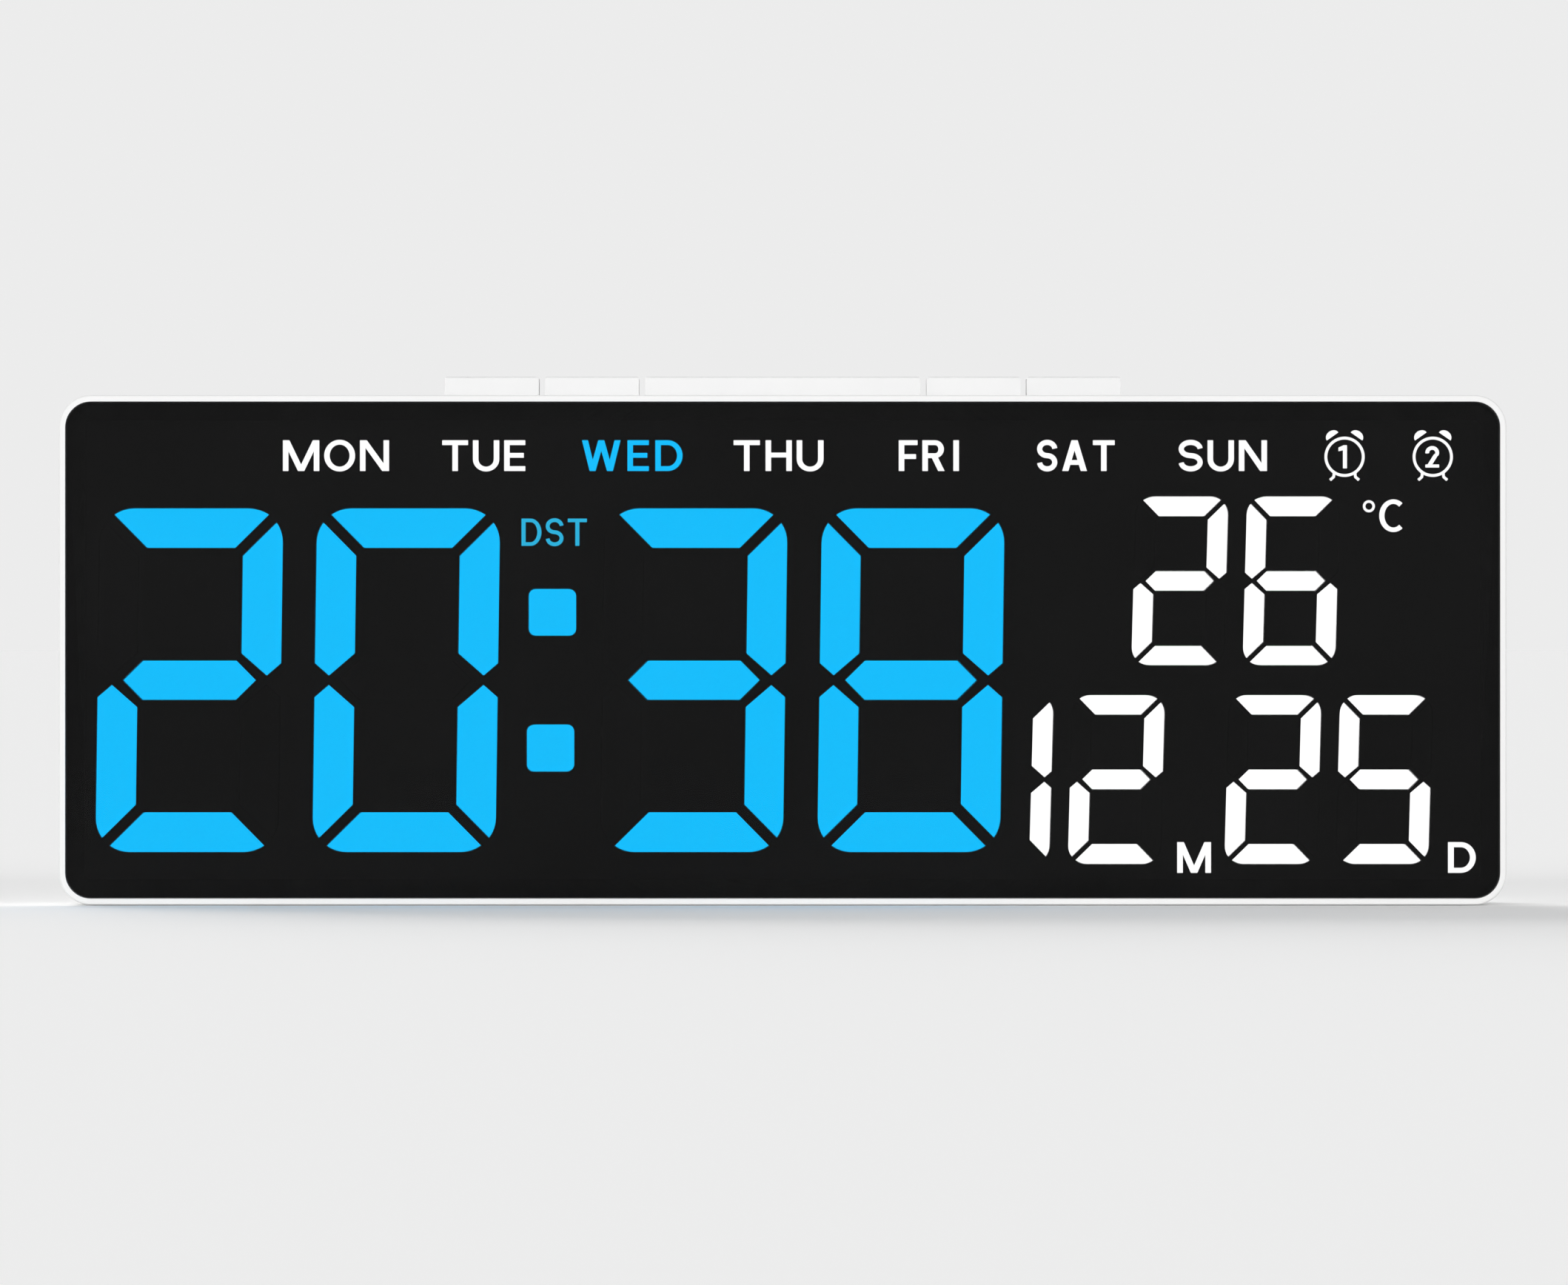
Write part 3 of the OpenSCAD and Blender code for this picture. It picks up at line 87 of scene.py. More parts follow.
def noise(tree, scale, detail, stretch=(1, 1, 1)):
    """The factor of a noise in the piece's own metres."""
    where = tree.nodes.new("ShaderNodeTexCoord")
    fit = tree.nodes.new("ShaderNodeMapping")
    fit.inputs["Scale"].default_value = stretch
    speck = tree.nodes.new("ShaderNodeTexNoise")
    speck.inputs["Scale"].default_value = scale
    speck.inputs["Detail"].default_value = detail
    tree.links.new(where.outputs["Object"], fit.inputs["Vector"])
    tree.links.new(fit.outputs["Vector"], speck.inputs["Vector"])
    return speck.outputs["Fac"]


def tinted(tree, factor, dark, light):
    """A colour between two, by the middle part of a noise factor."""
    ramp = tree.nodes.new("ShaderNodeValToRGB")
    for element, position, colour in zip(ramp.color_ramp.elements, TINT_SPAN, (dark, light)):
        element.position = position
        element.color = (*colour, 1)
    tree.links.new(factor, ramp.inputs["Fac"])
    return ramp.outputs["Color"]


def ranged(tree, factor, low, high):
    """A number between two, by the middle part of a noise factor."""
    span = tree.nodes.new("ShaderNodeMapRange")
    span.inputs["From Min"].default_value = GLOSS_SPAN[0]
    span.inputs["From Max"].default_value = GLOSS_SPAN[1]
    span.inputs["To Min"].default_value = low
    span.inputs["To Max"].default_value = high
    tree.links.new(factor, span.inputs["Value"])
    return span.outputs["Result"]


def with_seam_shade(tree, colour):
    """A colour with a fine dark line of painted shade, standing in for the shadowed gap where the frame
    and the cover meet.
    """
    where = tree.nodes.new("ShaderNodeTexCoord")
    place = tree.nodes.new("ShaderNodeSeparateXYZ")
    line = tree.nodes.new("ShaderNodeMath")
    line.operation = "COMPARE"
    line.inputs[1].default_value = SEAM_Y
    line.inputs[2].default_value = SEAM_HALF * MM
    mix = tree.nodes.new("ShaderNodeMixRGB")
    mix.inputs["Color2"].default_value = (*grey(SEAM_SHADE_TINT), 1)
    tree.links.new(where.outputs["Object"], place.inputs["Vector"])
    tree.links.new(place.outputs["Y"], line.inputs[0])
    tree.links.new(line.outputs["Value"], mix.inputs["Fac"])
    tree.links.new(colour, mix.inputs["Color1"])
    return mix.outputs["Color"]


def surface(name, dark, light, rough, blotch, grain, bump, depth,
            stretch=(1, 1, 1), seam_shade=False, **values):
    """A moulded or metal surface: cloudy tint, uneven gloss and a fine relief of depth mm."""
    look, shader = shader_of(name, **values)
    tree = look.node_tree
    cloud = noise(tree, blotch, CLOUD_DETAIL)
    fine = noise(tree, grain, GRAIN_DETAIL, stretch)
    colour = tinted(tree, cloud, dark, light)
    # Painted shade: a dark line along the gap where the frame and the cover meet
    if seam_shade:
        colour = with_seam_shade(tree, colour)
    tree.links.new(colour, shader.inputs["Base Color"])
    tree.links.new(ranged(tree, fine, *rough), shader.inputs["Roughness"])
    relief = tree.nodes.new("ShaderNodeBump")
    relief.inputs["Strength"].default_value = bump
    relief.inputs["Distance"].default_value = depth * MM
    tree.links.new(fine, relief.inputs["Height"])
    tree.links.new(relief.outputs["Normal"], shader.inputs["Normal"])
    return look


BLUE = (0.001, 0.495, 0.95)
DIM_BLUE = (0.02, 0.42, 0.68)
WHITE = (1.0, 1.0, 1.0)
# The lens passes about a sixth of the light, so the lamps are that much brighter
GLOW = 6.3
# A light bar's own tint, as shares of its light's colour
RESIN_DARK = 0.35
RESIN_LIGHT = 0.45


def light_bar(name, colour):
    """A cast resin light bar, with its lamp on."""
    dark = [RESIN_DARK * c for c in colour]
    light = [RESIN_LIGHT * c for c in colour]
    return surface(name, dark, light, (0.45, 0.6), 300, 2500, 0.1, 0.01,
                   Emission_Color=(*colour, 1), Emission_Strength=GLOW)


blue_lit = light_bar("blue_light_bar_on", BLUE)
white_lit = light_bar("white_light_bar_on", WHITE)
dim_blue_lit = light_bar("dim_blue_light_on", DIM_BLUE)

# Name, dark and light tint, roughness, blotches and grain per metre, bump and its depth in mm
unlit_bar = surface("unlit_light_bar", grey(0.014), grey(0.018),
                    (0.5, 0.65), 200, 2500, 0.1, 0.01)
black_lead = surface("black_lead", grey(0.014), grey(0.026),
                     (0.38, 0.5), 120, 2500, 0.12, 0.01)

# A look for each slot of the frame
LOOKS = {
    # The housing and the cover carry a painted shade line along the gap where they meet
    "housing_white": surface("satin_white_housing", (0.87, 0.87, 0.865), (0.90, 0.90, 0.895),
                             (0.32, 0.44), 25, 3500, 0.12, 0.02, seam_shade=True),
    "cover_white": surface("textured_white_cover", (0.84, 0.84, 0.835), (0.875, 0.875, 0.87),
                           (0.48, 0.62), 25, 2600, 0.3, 0.03, seam_shade=True),
    "key_white": surface("satin_white_key", grey(0.83), grey(0.86),
                         (0.36, 0.48), 40, 3200, 0.12, 0.02),
    "smoked_lens": surface("polished_smoked_acrylic", grey(0.004), grey(0.0055),
                           (0.1, 0.14), 40, 90, 0.01, 0.01, Alpha=0.6, Specular_IOR_Level=0.12),
    "black_tape": surface("black_foam_tape", grey(0.018), grey(0.03),
                          (0.8, 0.95), 400, 5000, 0.5, 0.04),
    "mask_black": surface("printed_black_film", grey(0.014), grey(0.018),
                          (0.5, 0.62), 60, 2500, 0.1, 0.01),
    "reflector_black": surface("moulded_black_reflector", grey(0.02), grey(0.035),
                               (0.45, 0.6), 60, 3000, 0.25, 0.02),
    "blue_light_bar": unlit_bar,
    "white_light_bar": unlit_bar,
    "circuit_board": surface("green_solder_mask", (0.012, 0.09, 0.03), (0.03, 0.16, 0.06),
                             (0.25, 0.4), 300, 1500, 0.25, 0.03),
    "chip_yellow": surface("phosphor_resin", (0.70, 0.56, 0.12), (0.82, 0.72, 0.26),
                           (0.3, 0.45), 1500, 4000, 0.15, 0.01),
    "chip_black": surface("black_moulding_compound", (0.02, 0.02, 0.021), (0.034, 0.034, 0.035),
                          (0.5, 0.7), 300, 4000, 0.3, 0.02),
    "component": surface("blue_sleeve", (0.015, 0.024, 0.06), (0.03, 0.045, 0.10),
                         (0.3, 0.45), 150, 2500, 0.15, 0.02),
    "steel": surface("plated_steel", (0.56, 0.56, 0.575), (0.66, 0.66, 0.67),
                     (0.22, 0.4), 250, 1800, 0.12, 0.01, stretch=(1, 1, 6), Metallic=1.0),
    "plunger_black": surface("black_nylon", (0.016, 0.016, 0.017), (0.028, 0.028, 0.029),
                             (0.42, 0.55), 80, 3000, 0.2, 0.02),
    "contact_brass": surface("plated_spring_brass", (0.62, 0.48, 0.22), (0.74, 0.60, 0.32),
                             (0.25, 0.4), 200, 2000, 0.12, 0.01, stretch=(1, 1, 5), Metallic=1.0),
    "lead_red": surface("red_lead", (0.42, 0.014, 0.012), (0.52, 0.025, 0.02),
                        (0.38, 0.5), 120, 2500, 0.12, 0.01),
}

for node in NODES.values():
    slot = node.data.materials[0].name
    node.data.materials.clear()
    node.data.materials.append(LOOKS[slot])


# Which light bars are on

# Points in the same cubic micron count as one
MICRONS = 1e6


def islands(mesh):
    """The polygons of each separate solid in a mesh, by the points that they share."""
    spots = [tuple(round(c * MICRONS) for c in vertex.co) for vertex in mesh.vertices]
    owner = {spot: spot for spot in spots}

    def root(spot):
        while owner[spot] != spot:
            owner[spot] = owner[owner[spot]]
            spot = owner[spot]
        return spot

    for polygon in mesh.polygons:
        first = root(spots[polygon.vertices[0]])
        for index in polygon.vertices[1:]:
            owner[root(spots[index])] = first
    groups = {}
    for polygon in mesh.polygons:
        groups.setdefault(root(spots[polygon.vertices[0]]), []).append(polygon)
    return list(groups.values())


def middle(mesh, polygons):
    """The middle of the box round some polygons."""
    points = [mesh.vertices[index].co for polygon in polygons for index in polygon.vertices]
    return [(min(p[axis] for p in points) + max(p[axis] for p in points)) / 2 for axis in range(3)]


def paint(mesh, polygons, look):
    """Gives some polygons of a mesh a look of their own."""
    if look.name not in mesh.materials:
        mesh.materials.append(look)
    index = mesh.materials.find(look.name)
    for polygon in polygons:
        polygon.material_index = index


# Bars in order: top, upper right, lower right, bottom, lower left, upper left, middle
BAR_SPOTS = ((0, 1), (1, 0.5), (1, -0.5), (0, -1), (-1, -0.5), (-1, 0.5), (0, 0))
BARS_ON = {
    "0": (0, 1, 2, 3, 4, 5),
    "1": (1, 2),
    "2": (0, 1, 3, 4, 6),
    "3": (0, 1, 2, 3, 6),
    "5": (0, 2, 3, 5, 6),
    "6": (0, 2, 3, 4, 5, 6),
    "8": (0, 1, 2, 3, 4, 5, 6),
}
# A digit's width, and the step from one digit to the next, for a height of 1
DIGIT_WIDE = 0.54
DIGIT_STEP = 0.66
# Node, its light and the number that it shows
READOUT = (
    ("hour_tens_digit", blue_lit, "2"),
    ("hour_units_digit", blue_lit, "0"),
    ("minute_tens_digit", blue_lit, "3"),
    ("minute_units_digit", blue_lit, "8"),
    ("temperature_digits", white_lit, "26"),
    ("month_digits", white_lit, "12"),
    ("day_digits", white_lit, "25"),
)

for name, lit, number in READOUT:
    mesh = NODES[name].data
    low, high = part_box(name)
    tall = high.z - low.z
    for solid in islands(mesh):
        x, _, z = middle(mesh, solid)
        # Digits are counted from the right, because a one may lack its left-hand bars
        place, aside = divmod((high.x - x) / tall, DIGIT_STEP)
        spot = Vector((1 - aside / DIGIT_WIDE * 2, (z - low.z) / tall * 2 - 1))
        bar = min(range(len(BAR_SPOTS)), key=lambda i: (spot - Vector(BAR_SPOTS[i])).length)
        if bar in BARS_ON[number[-1 - int(place)]]:
            paint(mesh, solid, lit)

colon = NODES["colon_dots"].data
paint(colon, colon.polygons, blue_lit)

# One of the two power leads is black
leads = NODES["power_leads"].data
paint(leads, max(islands(leads), key=lambda solid: middle(leads, solid)[0]), black_lead)


# Strokes of the display lettering, each an outline on a cap height of 1

def box(x0, y0, x1, y1):
    """An upright or level stroke between two corners."""
    return [(x0, y0), (x1, y0), (x1, y1), (x0, y1)]


def crossbar(y, wide, thick):
    """A level stroke with its middle at y, from x 0 to wide."""
    return box(0, y - thick / 2, wide, y + thick / 2)


def slant(x0, y0, x1, y1, wide):
    """A leaning stroke with level ends, given its middles and its level width."""
    half = wide / 2
    return [(x0 - half, y0), (x0 + half, y0), (x1 + half, y1), (x1 - half, y1)]


def curve(cx, cy, rx, ry, start, end, steps=20):
    """Points along an oval, from one angle to another."""
    turns = [math.radians(start + (end - start) * i / steps) for i in range(steps + 1)]
    return [(cx + rx * math.cos(a), cy + ry * math.sin(a)) for a in turns]


def arc(cx, cy, rx, ry, tx, ty, start, end, steps=28):
    """Part of an oval ring of outer radii rx and ry, thick tx at its sides and ty at its top."""
    outer = curve(cx, cy, rx, ry, start, end, steps)
    inner = curve(cx, cy, rx - tx, ry - ty, start, end, steps)
    return outer + inner[::-1]


def ring(cx, cy, rx, ry, tx, ty):
    """A whole oval ring, in two halves."""
    return [arc(cx, cy, rx, ry, tx, ty, 0, 180), arc(cx, cy, rx, ry, tx, ty, 180, 360)]


def sweep(points, thick):
    """A stroke of even thickness along some points."""
    points = [Vector(point) for point in points]
    left, right = [], []
    for i, point in enumerate(points):
        along = (points[min(i + 1, len(points) - 1)] - points[max(i - 1, 0)]).normalized()
        aside = Vector((-along.y, along.x)) * thick / 2
        left.append(tuple(point + aside))
        right.append(tuple(point - aside))
    return left + right[::-1]


# Letters and figures, each drawn from its width and its stem on a cap height of 1

# Level strokes are this share of a stem, and round letters pass the lines by this much
LEVEL = 0.87
OVER = 0.015


def letter_a(wide, stem):
    foot = 0.56 * stem
    bar = LEVEL * stem
    low = 0.2
    inset = foot + (wide / 2 - foot) * (low + bar / 2)
    thick = 1.12 * stem
    return [slant(foot, 0, wide / 2, 1, thick), slant(wide - foot, 0, wide / 2, 1, thick),
            box(inset, low, wide - inset, low + bar)]


def letter_c(wide, stem):
    opening = 50
    rx = wide / (1 + math.cos(math.radians(opening)))
    return [arc(rx, 0.5, rx, 0.5 + OVER, stem, LEVEL * stem, opening, 360 - opening)]


def letter_d(wide, stem):
    bar = LEVEL * stem
    rx = 0.54 * wide
    return [box(0, 0, stem, 1), box(0, 0, wide - rx, bar), box(0, 1 - bar, wide - rx, 1),
            arc(wide - rx, 0.5, rx, 0.5, stem, bar, -90, 90)]


def letter_e(wide, stem):
    bar = LEVEL * stem
    return [box(0, 0, stem, 1), box(0, 0, wide, bar), box(0, 1 - bar, wide, 1),
            crossbar(0.51, 0.93 * wide, bar)]


def letter_f(wide, stem):
    bar = LEVEL * stem
    return [box(0, 0, stem, 1), box(0, 1 - bar, wide, 1), crossbar(0.47, 0.92 * wide, bar)]


def letter_h(wide, stem):
    return [box(0, 0, stem, 1), box(wide - stem, 0, wide, 1), crossbar(0.52, wide, LEVEL * stem)]


def letter_i(wide, stem):
    return [box(0, 0, wide, 1)]


def letter_m(wide, stem):
    inset, thick = 0.6 * stem, 1.14 * stem
    return [box(0, 0, stem, 1), box(wide - stem, 0, wide, 1),
            slant(wide / 2, 0, inset, 1, thick), slant(wide / 2, 0, wide - inset, 1, thick)]


def letter_n(wide, stem):
    inset = 0.62 * stem
    return [box(0, 0, stem, 1), box(wide - stem, 0, wide, 1), slant(wide - inset, 0, inset, 1, 2 * inset)]


def letter_o(wide, stem):
    return ring(wide / 2, 0.5, wide / 2, 0.5 + OVER, stem, LEVEL * stem)


def letter_r(wide, stem):
    bar = LEVEL * stem
    low = 0.42
    ry = (1 - low) / 2
    side = 0.97 * wide - ry
    return [box(0, 0, stem, 1), box(0, 1 - bar, side, 1), box(0, low, side, low + bar),
            arc(side, low + ry, ry, ry, stem, bar, -90, 90),
            slant(wide - 0.58 * stem, 0, 0.52 * wide, low + bar / 2, 1.16 * stem)]


def letter_s(wide, stem):
    thick = 0.93 * stem
    rx = (wide - thick) / 2
    ry = (0.5 + OVER - thick / 2) / 2
    upper = curve(wide / 2, 0.5 + ry, rx, ry, 4, 270)
    lower = curve(wide / 2, 0.5 - ry, rx, ry, 90, -176)
    return [sweep(upper + lower[1:], thick)]


def letter_t(wide, stem):
    return [box((wide - stem) / 2, 0, (wide + stem) / 2, 1), box(0, 1 - LEVEL * stem, wide, 1)]


def letter_u(wide, stem):
    ry = 0.4
    return [box(0, ry - OVER, stem, 1), box(wide - stem, ry - OVER, wide, 1),
            arc(wide / 2, ry - OVER, wide / 2, ry, stem, LEVEL * stem, 180, 360)]


def letter_w(wide, stem):
    side, foot, thick = 0.54 * stem, 0.275 * wide, 1.08 * stem
    return [slant(foot, 0, side, 1, thick), slant(foot, 0, wide / 2, 1, thick),
            slant(wide - foot, 0, wide / 2, 1, thick), slant(wide - foot, 0, wide - side, 1, thick)]


def figure_1(wide, stem):
    flag = [(0, 0.74), (wide - stem, 0.78), (wide, 1), (wide - 0.8 * stem, 1), (0, 0.9)]
    return [box(wide - stem, 0, wide, 1), flag]


def figure_2(wide, stem):
    bar = 0.82 * stem
    rx, ry = (wide - stem) / 2, 0.31 - stem / 2
    bow = curve(wide / 2, 1 - stem / 2 - ry, rx, ry, 188, -28)
    neck = slant(0.7 * stem, 0, wide - 0.74 * stem, 0.62, 1.25 * stem)
    return [sweep(bow, stem), neck, box(0, 0, wide, bar)]


# Letter: its usual width and how it is drawn
GLYPHS = {
    "A": (1.0, letter_a), "C": (0.72, letter_c), "D": (0.92, letter_d), "E": (0.72, letter_e),
    "F": (0.70, letter_f), "H": (0.88, letter_h), "I": (0.21, letter_i), "M": (1.2, letter_m),
    "N": (0.96, letter_n), "O": (1.02, letter_o), "R": (0.83, letter_r), "S": (0.82, letter_s),
    "T": (0.88, letter_t), "U": (0.9, letter_u), "W": (1.3, letter_w),
}
# The space between two letters, and the pairs that stand wider apart
LETTER_GAP = 0.158
WIDER_GAPS = {"WE": 0.225, "ED": 0.21, "RI": 0.285, "AT": 0.195, "TH": 0.185}


def word(text, wide, stem):
    """The strokes of a word on a cap height of 1, from x 0 to wide."""
    gaps = [WIDER_GAPS.get(pair, LETTER_GAP) for pair in map("".join, zip(text, text[1:]))] + [0]
    fit = (wide - sum(gaps)) / sum(GLYPHS[letter][0] for letter in text)
    strokes, x = [], 0
    for letter, gap in zip(text, gaps):
        usual, draw = GLYPHS[letter]
        strokes += [[(x + px, py) for px, py in stroke] for stroke in draw(usual * fit, stem)]
        x += usual * fit + gap
    return strokes


def alarm_icon(inside):
    """A twin-bell clock on a ring of radius 1, round some strokes."""
    rim, leg = 0.14, 0.14
    leg_points = ((0.52, -0.78), (0.54, -1.0), (0.72, -1.155))
    bell_x, bell_y, bell_rx, bell_ry = -0.595, 1.01, 0.35, 0.29
    tilt = math.radians(35)
    strokes = ring(0, 0, 1, 1, rim, rim) + inside
    for side in (-1, 1):
        bell = []
        for px, py in curve(0, 0, bell_rx, bell_ry, 0, 180):
            bell.append((side * (bell_x + px * math.cos(tilt) - py * math.sin(tilt)),
                         bell_y + px * math.sin(tilt) + py * math.cos(tilt)))
        strokes.append(bell)
        strokes.append(sweep([(side * px, py) for px, py in leg_points], leg))
    return strokes


# Display lettering on the mask

MASK_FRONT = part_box("display_mask")[0].y
# The lettering stands a little proud of the mask and reaches a little into it
PRINT_FRONT = MASK_FRONT - 0.06 * MM
PRINT_BACK = MASK_FRONT + 0.01 * MM
# Points of strokes are rounded to this many decimals, so that the two halves of a ring share their ends
DECIMALS = 6
# Strokes are joined into triangles inside their outlines, and flat neighbours then become one face
INSIDE_ONLY = 1
SAME_POINT = 1e-5
SAME_PLANE = math.radians(1)


def joined(strokes):
    """Triangles of the union of some outlines: points and point indices."""
    points, faces = [], []
    for stroke in strokes:
        turn = sum(a[0] * b[1] - b[0] * a[1] for a, b in zip(stroke, stroke[1:] + stroke[:1]))
        outline = stroke if turn > 0 else stroke[::-1]
        faces.append(list(range(len(points), len(points) + len(outline))))
        points += [Vector((round(x, DECIMALS), round(y, DECIMALS))) for x, y in outline]
    made = delaunay_2d_cdt(points, [], faces, INSIDE_ONLY, SAME_POINT)
    return made[0], [face for face, source in zip(made[2], made[5]) if source]


def lettering(name, strokes, x, z, size, look, slot):
    """A thin form on the mask: strokes in units of size mm, from x, z in mm."""
    points, faces = joined(strokes)
    form = bmesh.new()
    corners = []
    for point in points:
        across, up = x + point.x * size, z + point.y * size
        corners.append(form.verts.new((across * MM, PRINT_FRONT, up * MM)))
    for face in faces:
        form.faces.new([corners[i] for i in face])
    loose = [vert for vert in form.verts if not vert.link_faces]
    bmesh.ops.delete(form, geom=loose, context="VERTS")
    bmesh.ops.dissolve_limit(form, angle_limit=SAME_PLANE, verts=form.verts, edges=form.edges)
    back = bmesh.ops.extrude_face_region(form, geom=form.faces[:], use_keep_orig=True)
    moved = [item for item in back["geom"] if isinstance(item, bmesh.types.BMVert)]
    bmesh.ops.translate(form, verts=moved, vec=(0, PRINT_BACK - PRINT_FRONT, 0))
    bmesh.ops.recalc_face_normals(form, faces=form.faces)
    mesh = bpy.data.meshes.new(name)
    form.to_mesh(mesh)
    form.free()
    mesh.materials.append(look)
    piece = bpy.data.objects.new(name, mesh)
    SCENE.collection.objects.link(piece)
    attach(piece, "housing")


def lit_word(name, text, spot, nudge, cap, wide, stem, light):
    """A lit word, its cap height and width in mm, a small nudge away from its light block's middle."""
    x = spot[0] / MM + nudge[0] - wide / 2
    z = spot[2] / MM + nudge[1] - cap / 2
    lettering(name, word(text, wide / cap, stem), x, z, cap, *light)


# Black print over the gap between the mask and the frame's ledge, from the frame's edges in mm
EDGE_OUT = 3.7
EDGE_IN = 4.6
left, _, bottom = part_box("front_frame")[0] / MM
right, _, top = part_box("front_frame")[1] / MM
edge_strips = [
    box(left + EDGE_OUT, bottom + EDGE_OUT, right - EDGE_OUT, bottom + EDGE_IN),
    box(left + EDGE_OUT, top - EDGE_IN, right - EDGE_OUT, top - EDGE_OUT),
    box(left + EDGE_OUT, bottom + EDGE_OUT, left + EDGE_IN, top - EDGE_OUT),
    box(right - EDGE_IN, bottom + EDGE_OUT, right - EDGE_OUT, top - EDGE_OUT),
]
lettering("mask_edge_print", edge_strips, 0, 0, 1, LOOKS["mask_black"], "mask_black")

# Middles of the light blocks behind the words: rows from the top, and each row from the left
blocks = NODES["word_light_blocks"].data
SPOTS = [middle(blocks, solid) for solid in islands(blocks)]
SPOTS.sort(key=lambda spot: (-round(spot[2], 4), spot[0]))
WEEK_SPOTS = SPOTS[:7]
ALARM_SPOTS = SPOTS[7:9]
DEGREE_SPOT, SUMMER_SPOT, MONTH_SPOT, DAY_SPOT = SPOTS[9:]

# A lit sign's look and slot
WHITE_SIGN = (white_lit, "white_light_bar")
BLUE_SIGN = (blue_lit, "blue_light_bar")
DIM_SIGN = (dim_blue_lit, "blue_light_bar")

# The weekdays' cap height and nudge up in mm, and their stem for a cap height of 1
WEEK_CAP = 4.89
WEEK_UP = 0.025
WEEK_STEM = 0.18
# Weekday, its nudge to the right and its width in mm
WEEK = (
    ("MON", -0.04, 16.88), ("TUE", -0.04, 13.21), ("WED", 0.08, 16.0), ("THU", -0.15, 14.3),
    ("FRI", 0.25, 9.57), ("SAT", 0.13, 12.35), ("SUN", 0.0, 14.05),
)
TODAY = "WED"
for (text, nudge, wide), spot in zip(WEEK, WEEK_SPOTS):
    light = BLUE_SIGN if text == TODAY else WHITE_SIGN
    lit_word("weekday_" + text.lower(), text, spot, (nudge, WEEK_UP), WEEK_CAP, wide, WEEK_STEM, light)

# Name, text, light block, nudge, cap height and width in mm, stem for a cap height of 1, and light
SIGNS = (
    ("summer_time_sign", "DST", SUMMER_SPOT, (0.46, 0.145), 4.33, 10.4, 0.152, DIM_SIGN),
    ("celsius_sign", "C", DEGREE_SPOT, (1.525, 0.07), 5.06, 3.71, 0.165, WHITE_SIGN),
    ("month_sign", "M", MONTH_SPOT, (-0.12, -0.095), 4.89, 5.38, 0.185, WHITE_SIGN),
    ("day_sign", "D", DAY_SPOT, (0.02, -0.095), 4.89, 4.42, 0.19, WHITE_SIGN),
)
for sign in SIGNS:
    lit_word(*sign)

# The degree ring's radius and nudge in mm, and its thickness for a radius of 1
DEGREE_R = 0.96
DEGREE_NUDGE = (-1.97, 1.57)
DEGREE_T = 0.42
lettering("degree_sign", ring(0, 0, 1, 1, DEGREE_T, DEGREE_T), DEGREE_SPOT[0] / MM + DEGREE_NUDGE[0],
          DEGREE_SPOT[2] / MM + DEGREE_NUDGE[1], DEGREE_R, *WHITE_SIGN)

# The alarm signs' radius and nudge up in mm, and the stem of their figures for a height of 1
ICON_R = 3.2
ICON_UP = -0.16
FIGURE_STEM = 0.175
# Number, how it is drawn, its height in sign radii, its start and width in heights, and the sign's nudge
ALARMS = ((1, figure_1, 1.15, -0.263, 0.368, 0.06), (2, figure_2, 1.07, -0.345, 0.64, 0.09))
for (number, draw, tall, start, wide, nudge), spot in zip(ALARMS, ALARM_SPOTS):
    figure = [[((start + px) * tall, (py - 0.5) * tall) for px, py in stroke]
              for stroke in draw(wide, FIGURE_STEM)]
    lettering(f"alarm_sign_{number}", alarm_icon(figure), spot[0] / MM + nudge, spot[2] / MM + ICON_UP,
              ICON_R, *WHITE_SIGN)


# Background and floor

# Brightness of the sky as a light and as a background
SKY_LIGHT = 0.36
SKY_SEEN = 0.84
# The floor's half size and its drop under the part in metres, its tint for light and as it is seen
FLOOR_HALF = 60
FLOOR_DROP = 0.0001
FLOOR_MATT = 0.8
FLOOR_SEEN = 1.285


def seen_factor(tree):
    """1 for rays that show the background: camera, mirror and see-through rays."""
    path = tree.nodes.new("ShaderNodeLightPath")
    total = path.outputs["Is Camera Ray"]
    for ray in ("Is Glossy Ray", "Is Transmission Ray"):
        either = tree.nodes.new("ShaderNodeMath")
        either.operation = "MAXIMUM"
        tree.links.new(total, either.inputs[0])
        tree.links.new(path.outputs[ray], either.inputs[1])
        total = either.outputs["Value"]
    return total


def mixed(tree, hidden, seen, output):
    """Shows one shader to background rays and another to all the rest."""
    mix = tree.nodes.new("ShaderNodeMixShader")
    tree.links.new(seen_factor(tree), mix.inputs["Fac"])
    tree.links.new(hidden.outputs[0], mix.inputs[1])
    tree.links.new(seen.outputs[0], mix.inputs[2])
    tree.links.new(mix.outputs["Shader"], output.inputs["Surface"])


def studio_sky():
    """A soft light from all round, with a plain pale background."""
    sky = bpy.data.worlds.new("studio_white")
    SCENE.world = sky
    sky.use_nodes = True
    tree = sky.node_tree
    light = tree.nodes["Background"]
    plain = tree.nodes.new("ShaderNodeBackground")
    for shader, strength in ((light, SKY_LIGHT), (plain, SKY_SEEN)):
        shader.inputs["Color"].default_value = (1, 1, 1, 1)
        shader.inputs["Strength"].default_value = strength
    mixed(tree, light, plain, tree.nodes["World Output"])


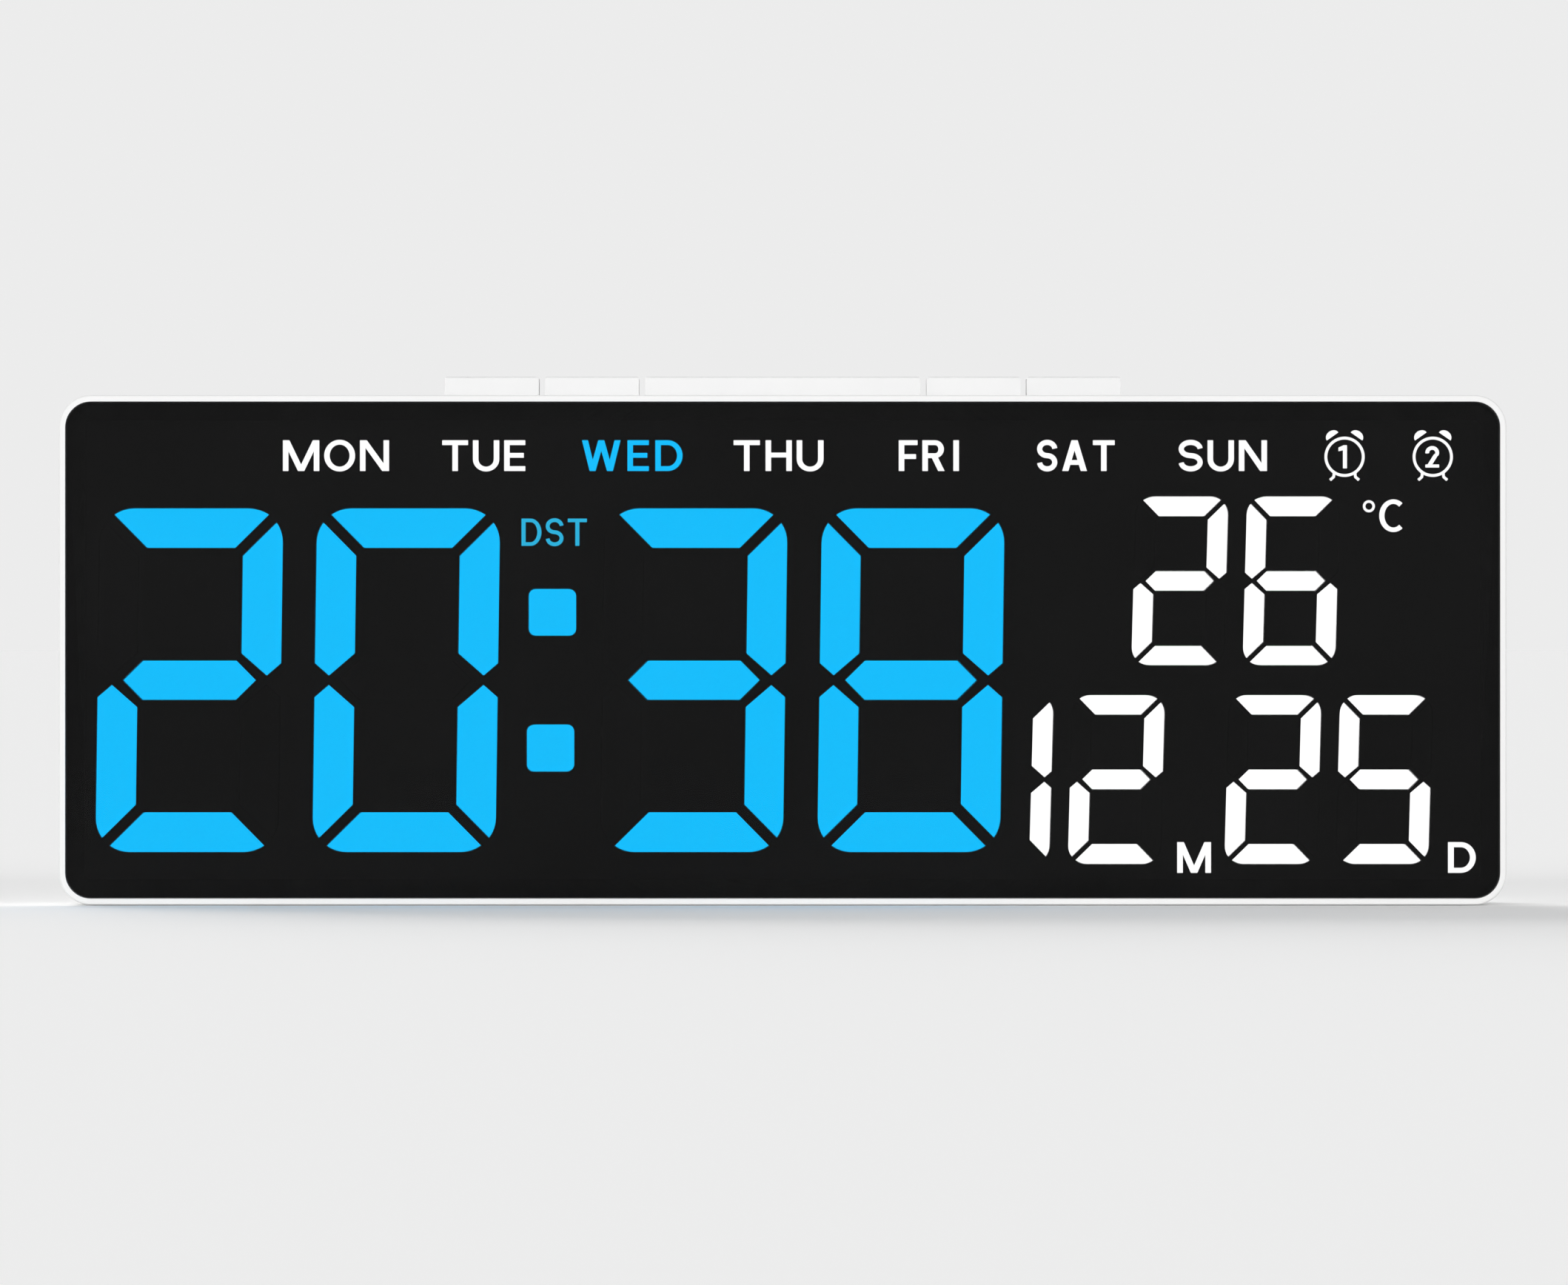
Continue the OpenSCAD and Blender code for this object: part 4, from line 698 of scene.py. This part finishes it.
def paper_floor():
    """A wide matt floor, which looks as pale as the background where nothing shades it."""
    paper = bpy.data.materials.new("white_paper_floor")
    paper.use_nodes = True
    tree = paper.node_tree
    tree.nodes.remove(tree.nodes["Principled BSDF"])
    matt = tree.nodes.new("ShaderNodeBsdfDiffuse")
    bright = tree.nodes.new("ShaderNodeBsdfDiffuse")
    matt.inputs["Color"].default_value = (*grey(FLOOR_MATT), 1)
    bright.inputs["Color"].default_value = (*grey(FLOOR_SEEN), 1)
    mixed(tree, matt, bright, tree.nodes["Material Output"])
    form = bmesh.new()
    bmesh.ops.create_grid(form, x_segments=1, y_segments=1, size=FLOOR_HALF)
    ground = bpy.data.meshes.new("floor")
    form.to_mesh(ground)
    form.free()
    ground.materials.append(paper)
    floor = bpy.data.objects.new("floor", ground)
    floor.location.z = -FLOOR_DROP
    SCENE.collection.objects.link(floor)


studio_sky()
paper_floor()


# Lamps and camera

def softbox(name, azimuth, elevation, spread, level):
    """A far, broad lamp that gives a white surface facing it a brightness of level."""
    lamp = bpy.data.lights.new(name, "SUN")
    lamp.angle = math.radians(spread)
    lamp.energy = level * math.pi
    holder = bpy.data.objects.new(name, lamp)
    a, e = math.radians(azimuth), math.radians(elevation)
    away = Vector((math.sin(a) * math.cos(e), -math.cos(a) * math.cos(e), math.sin(e)))
    holder.rotation_euler = away.to_track_quat("Z", "Y").to_euler()
    holder.visible_glossy = False
    SCENE.collection.objects.link(holder)


# Name, azimuth, elevation and spread in degrees, and brightness
LAMPS = (
    ("key_softbox", -42, 6, 25, 0.585),
    ("fill_softbox", 42, 6, 25, 0.505),
    ("back_softbox", -155, 18, 45, 0.55),
)
for lamp in LAMPS:
    softbox(*lamp)

# The camera's sensor, and its view's width, distance and middle, in mm
SENSOR = 36.0
VIEW_WIDE = 249.08
VIEW_AWAY = 2000.0
VIEW_X = 0.21
VIEW_Z = 41.7
# The nearest and the farthest that it sees, in metres
CLIP_NEAR = 0.01
CLIP_FAR = 200


def front_camera():
    """A far camera that looks straight at the front, as in the photo."""
    eye = bpy.data.cameras.new("camera")
    eye.sensor_width = SENSOR
    eye.lens = SENSOR * VIEW_AWAY / VIEW_WIDE
    eye.clip_start = CLIP_NEAR
    eye.clip_end = CLIP_FAR
    camera = bpy.data.objects.new("camera", eye)
    camera.location = (VIEW_X * MM, CAD_BOX[0][1] - VIEW_AWAY * MM, VIEW_Z * MM)
    camera.rotation_euler = (math.radians(90), 0, 0)
    SCENE.collection.objects.link(camera)
    SCENE.camera = camera


front_camera()
SCENE.view_settings.view_transform = "Standard"

bpy.context.view_layer.update()
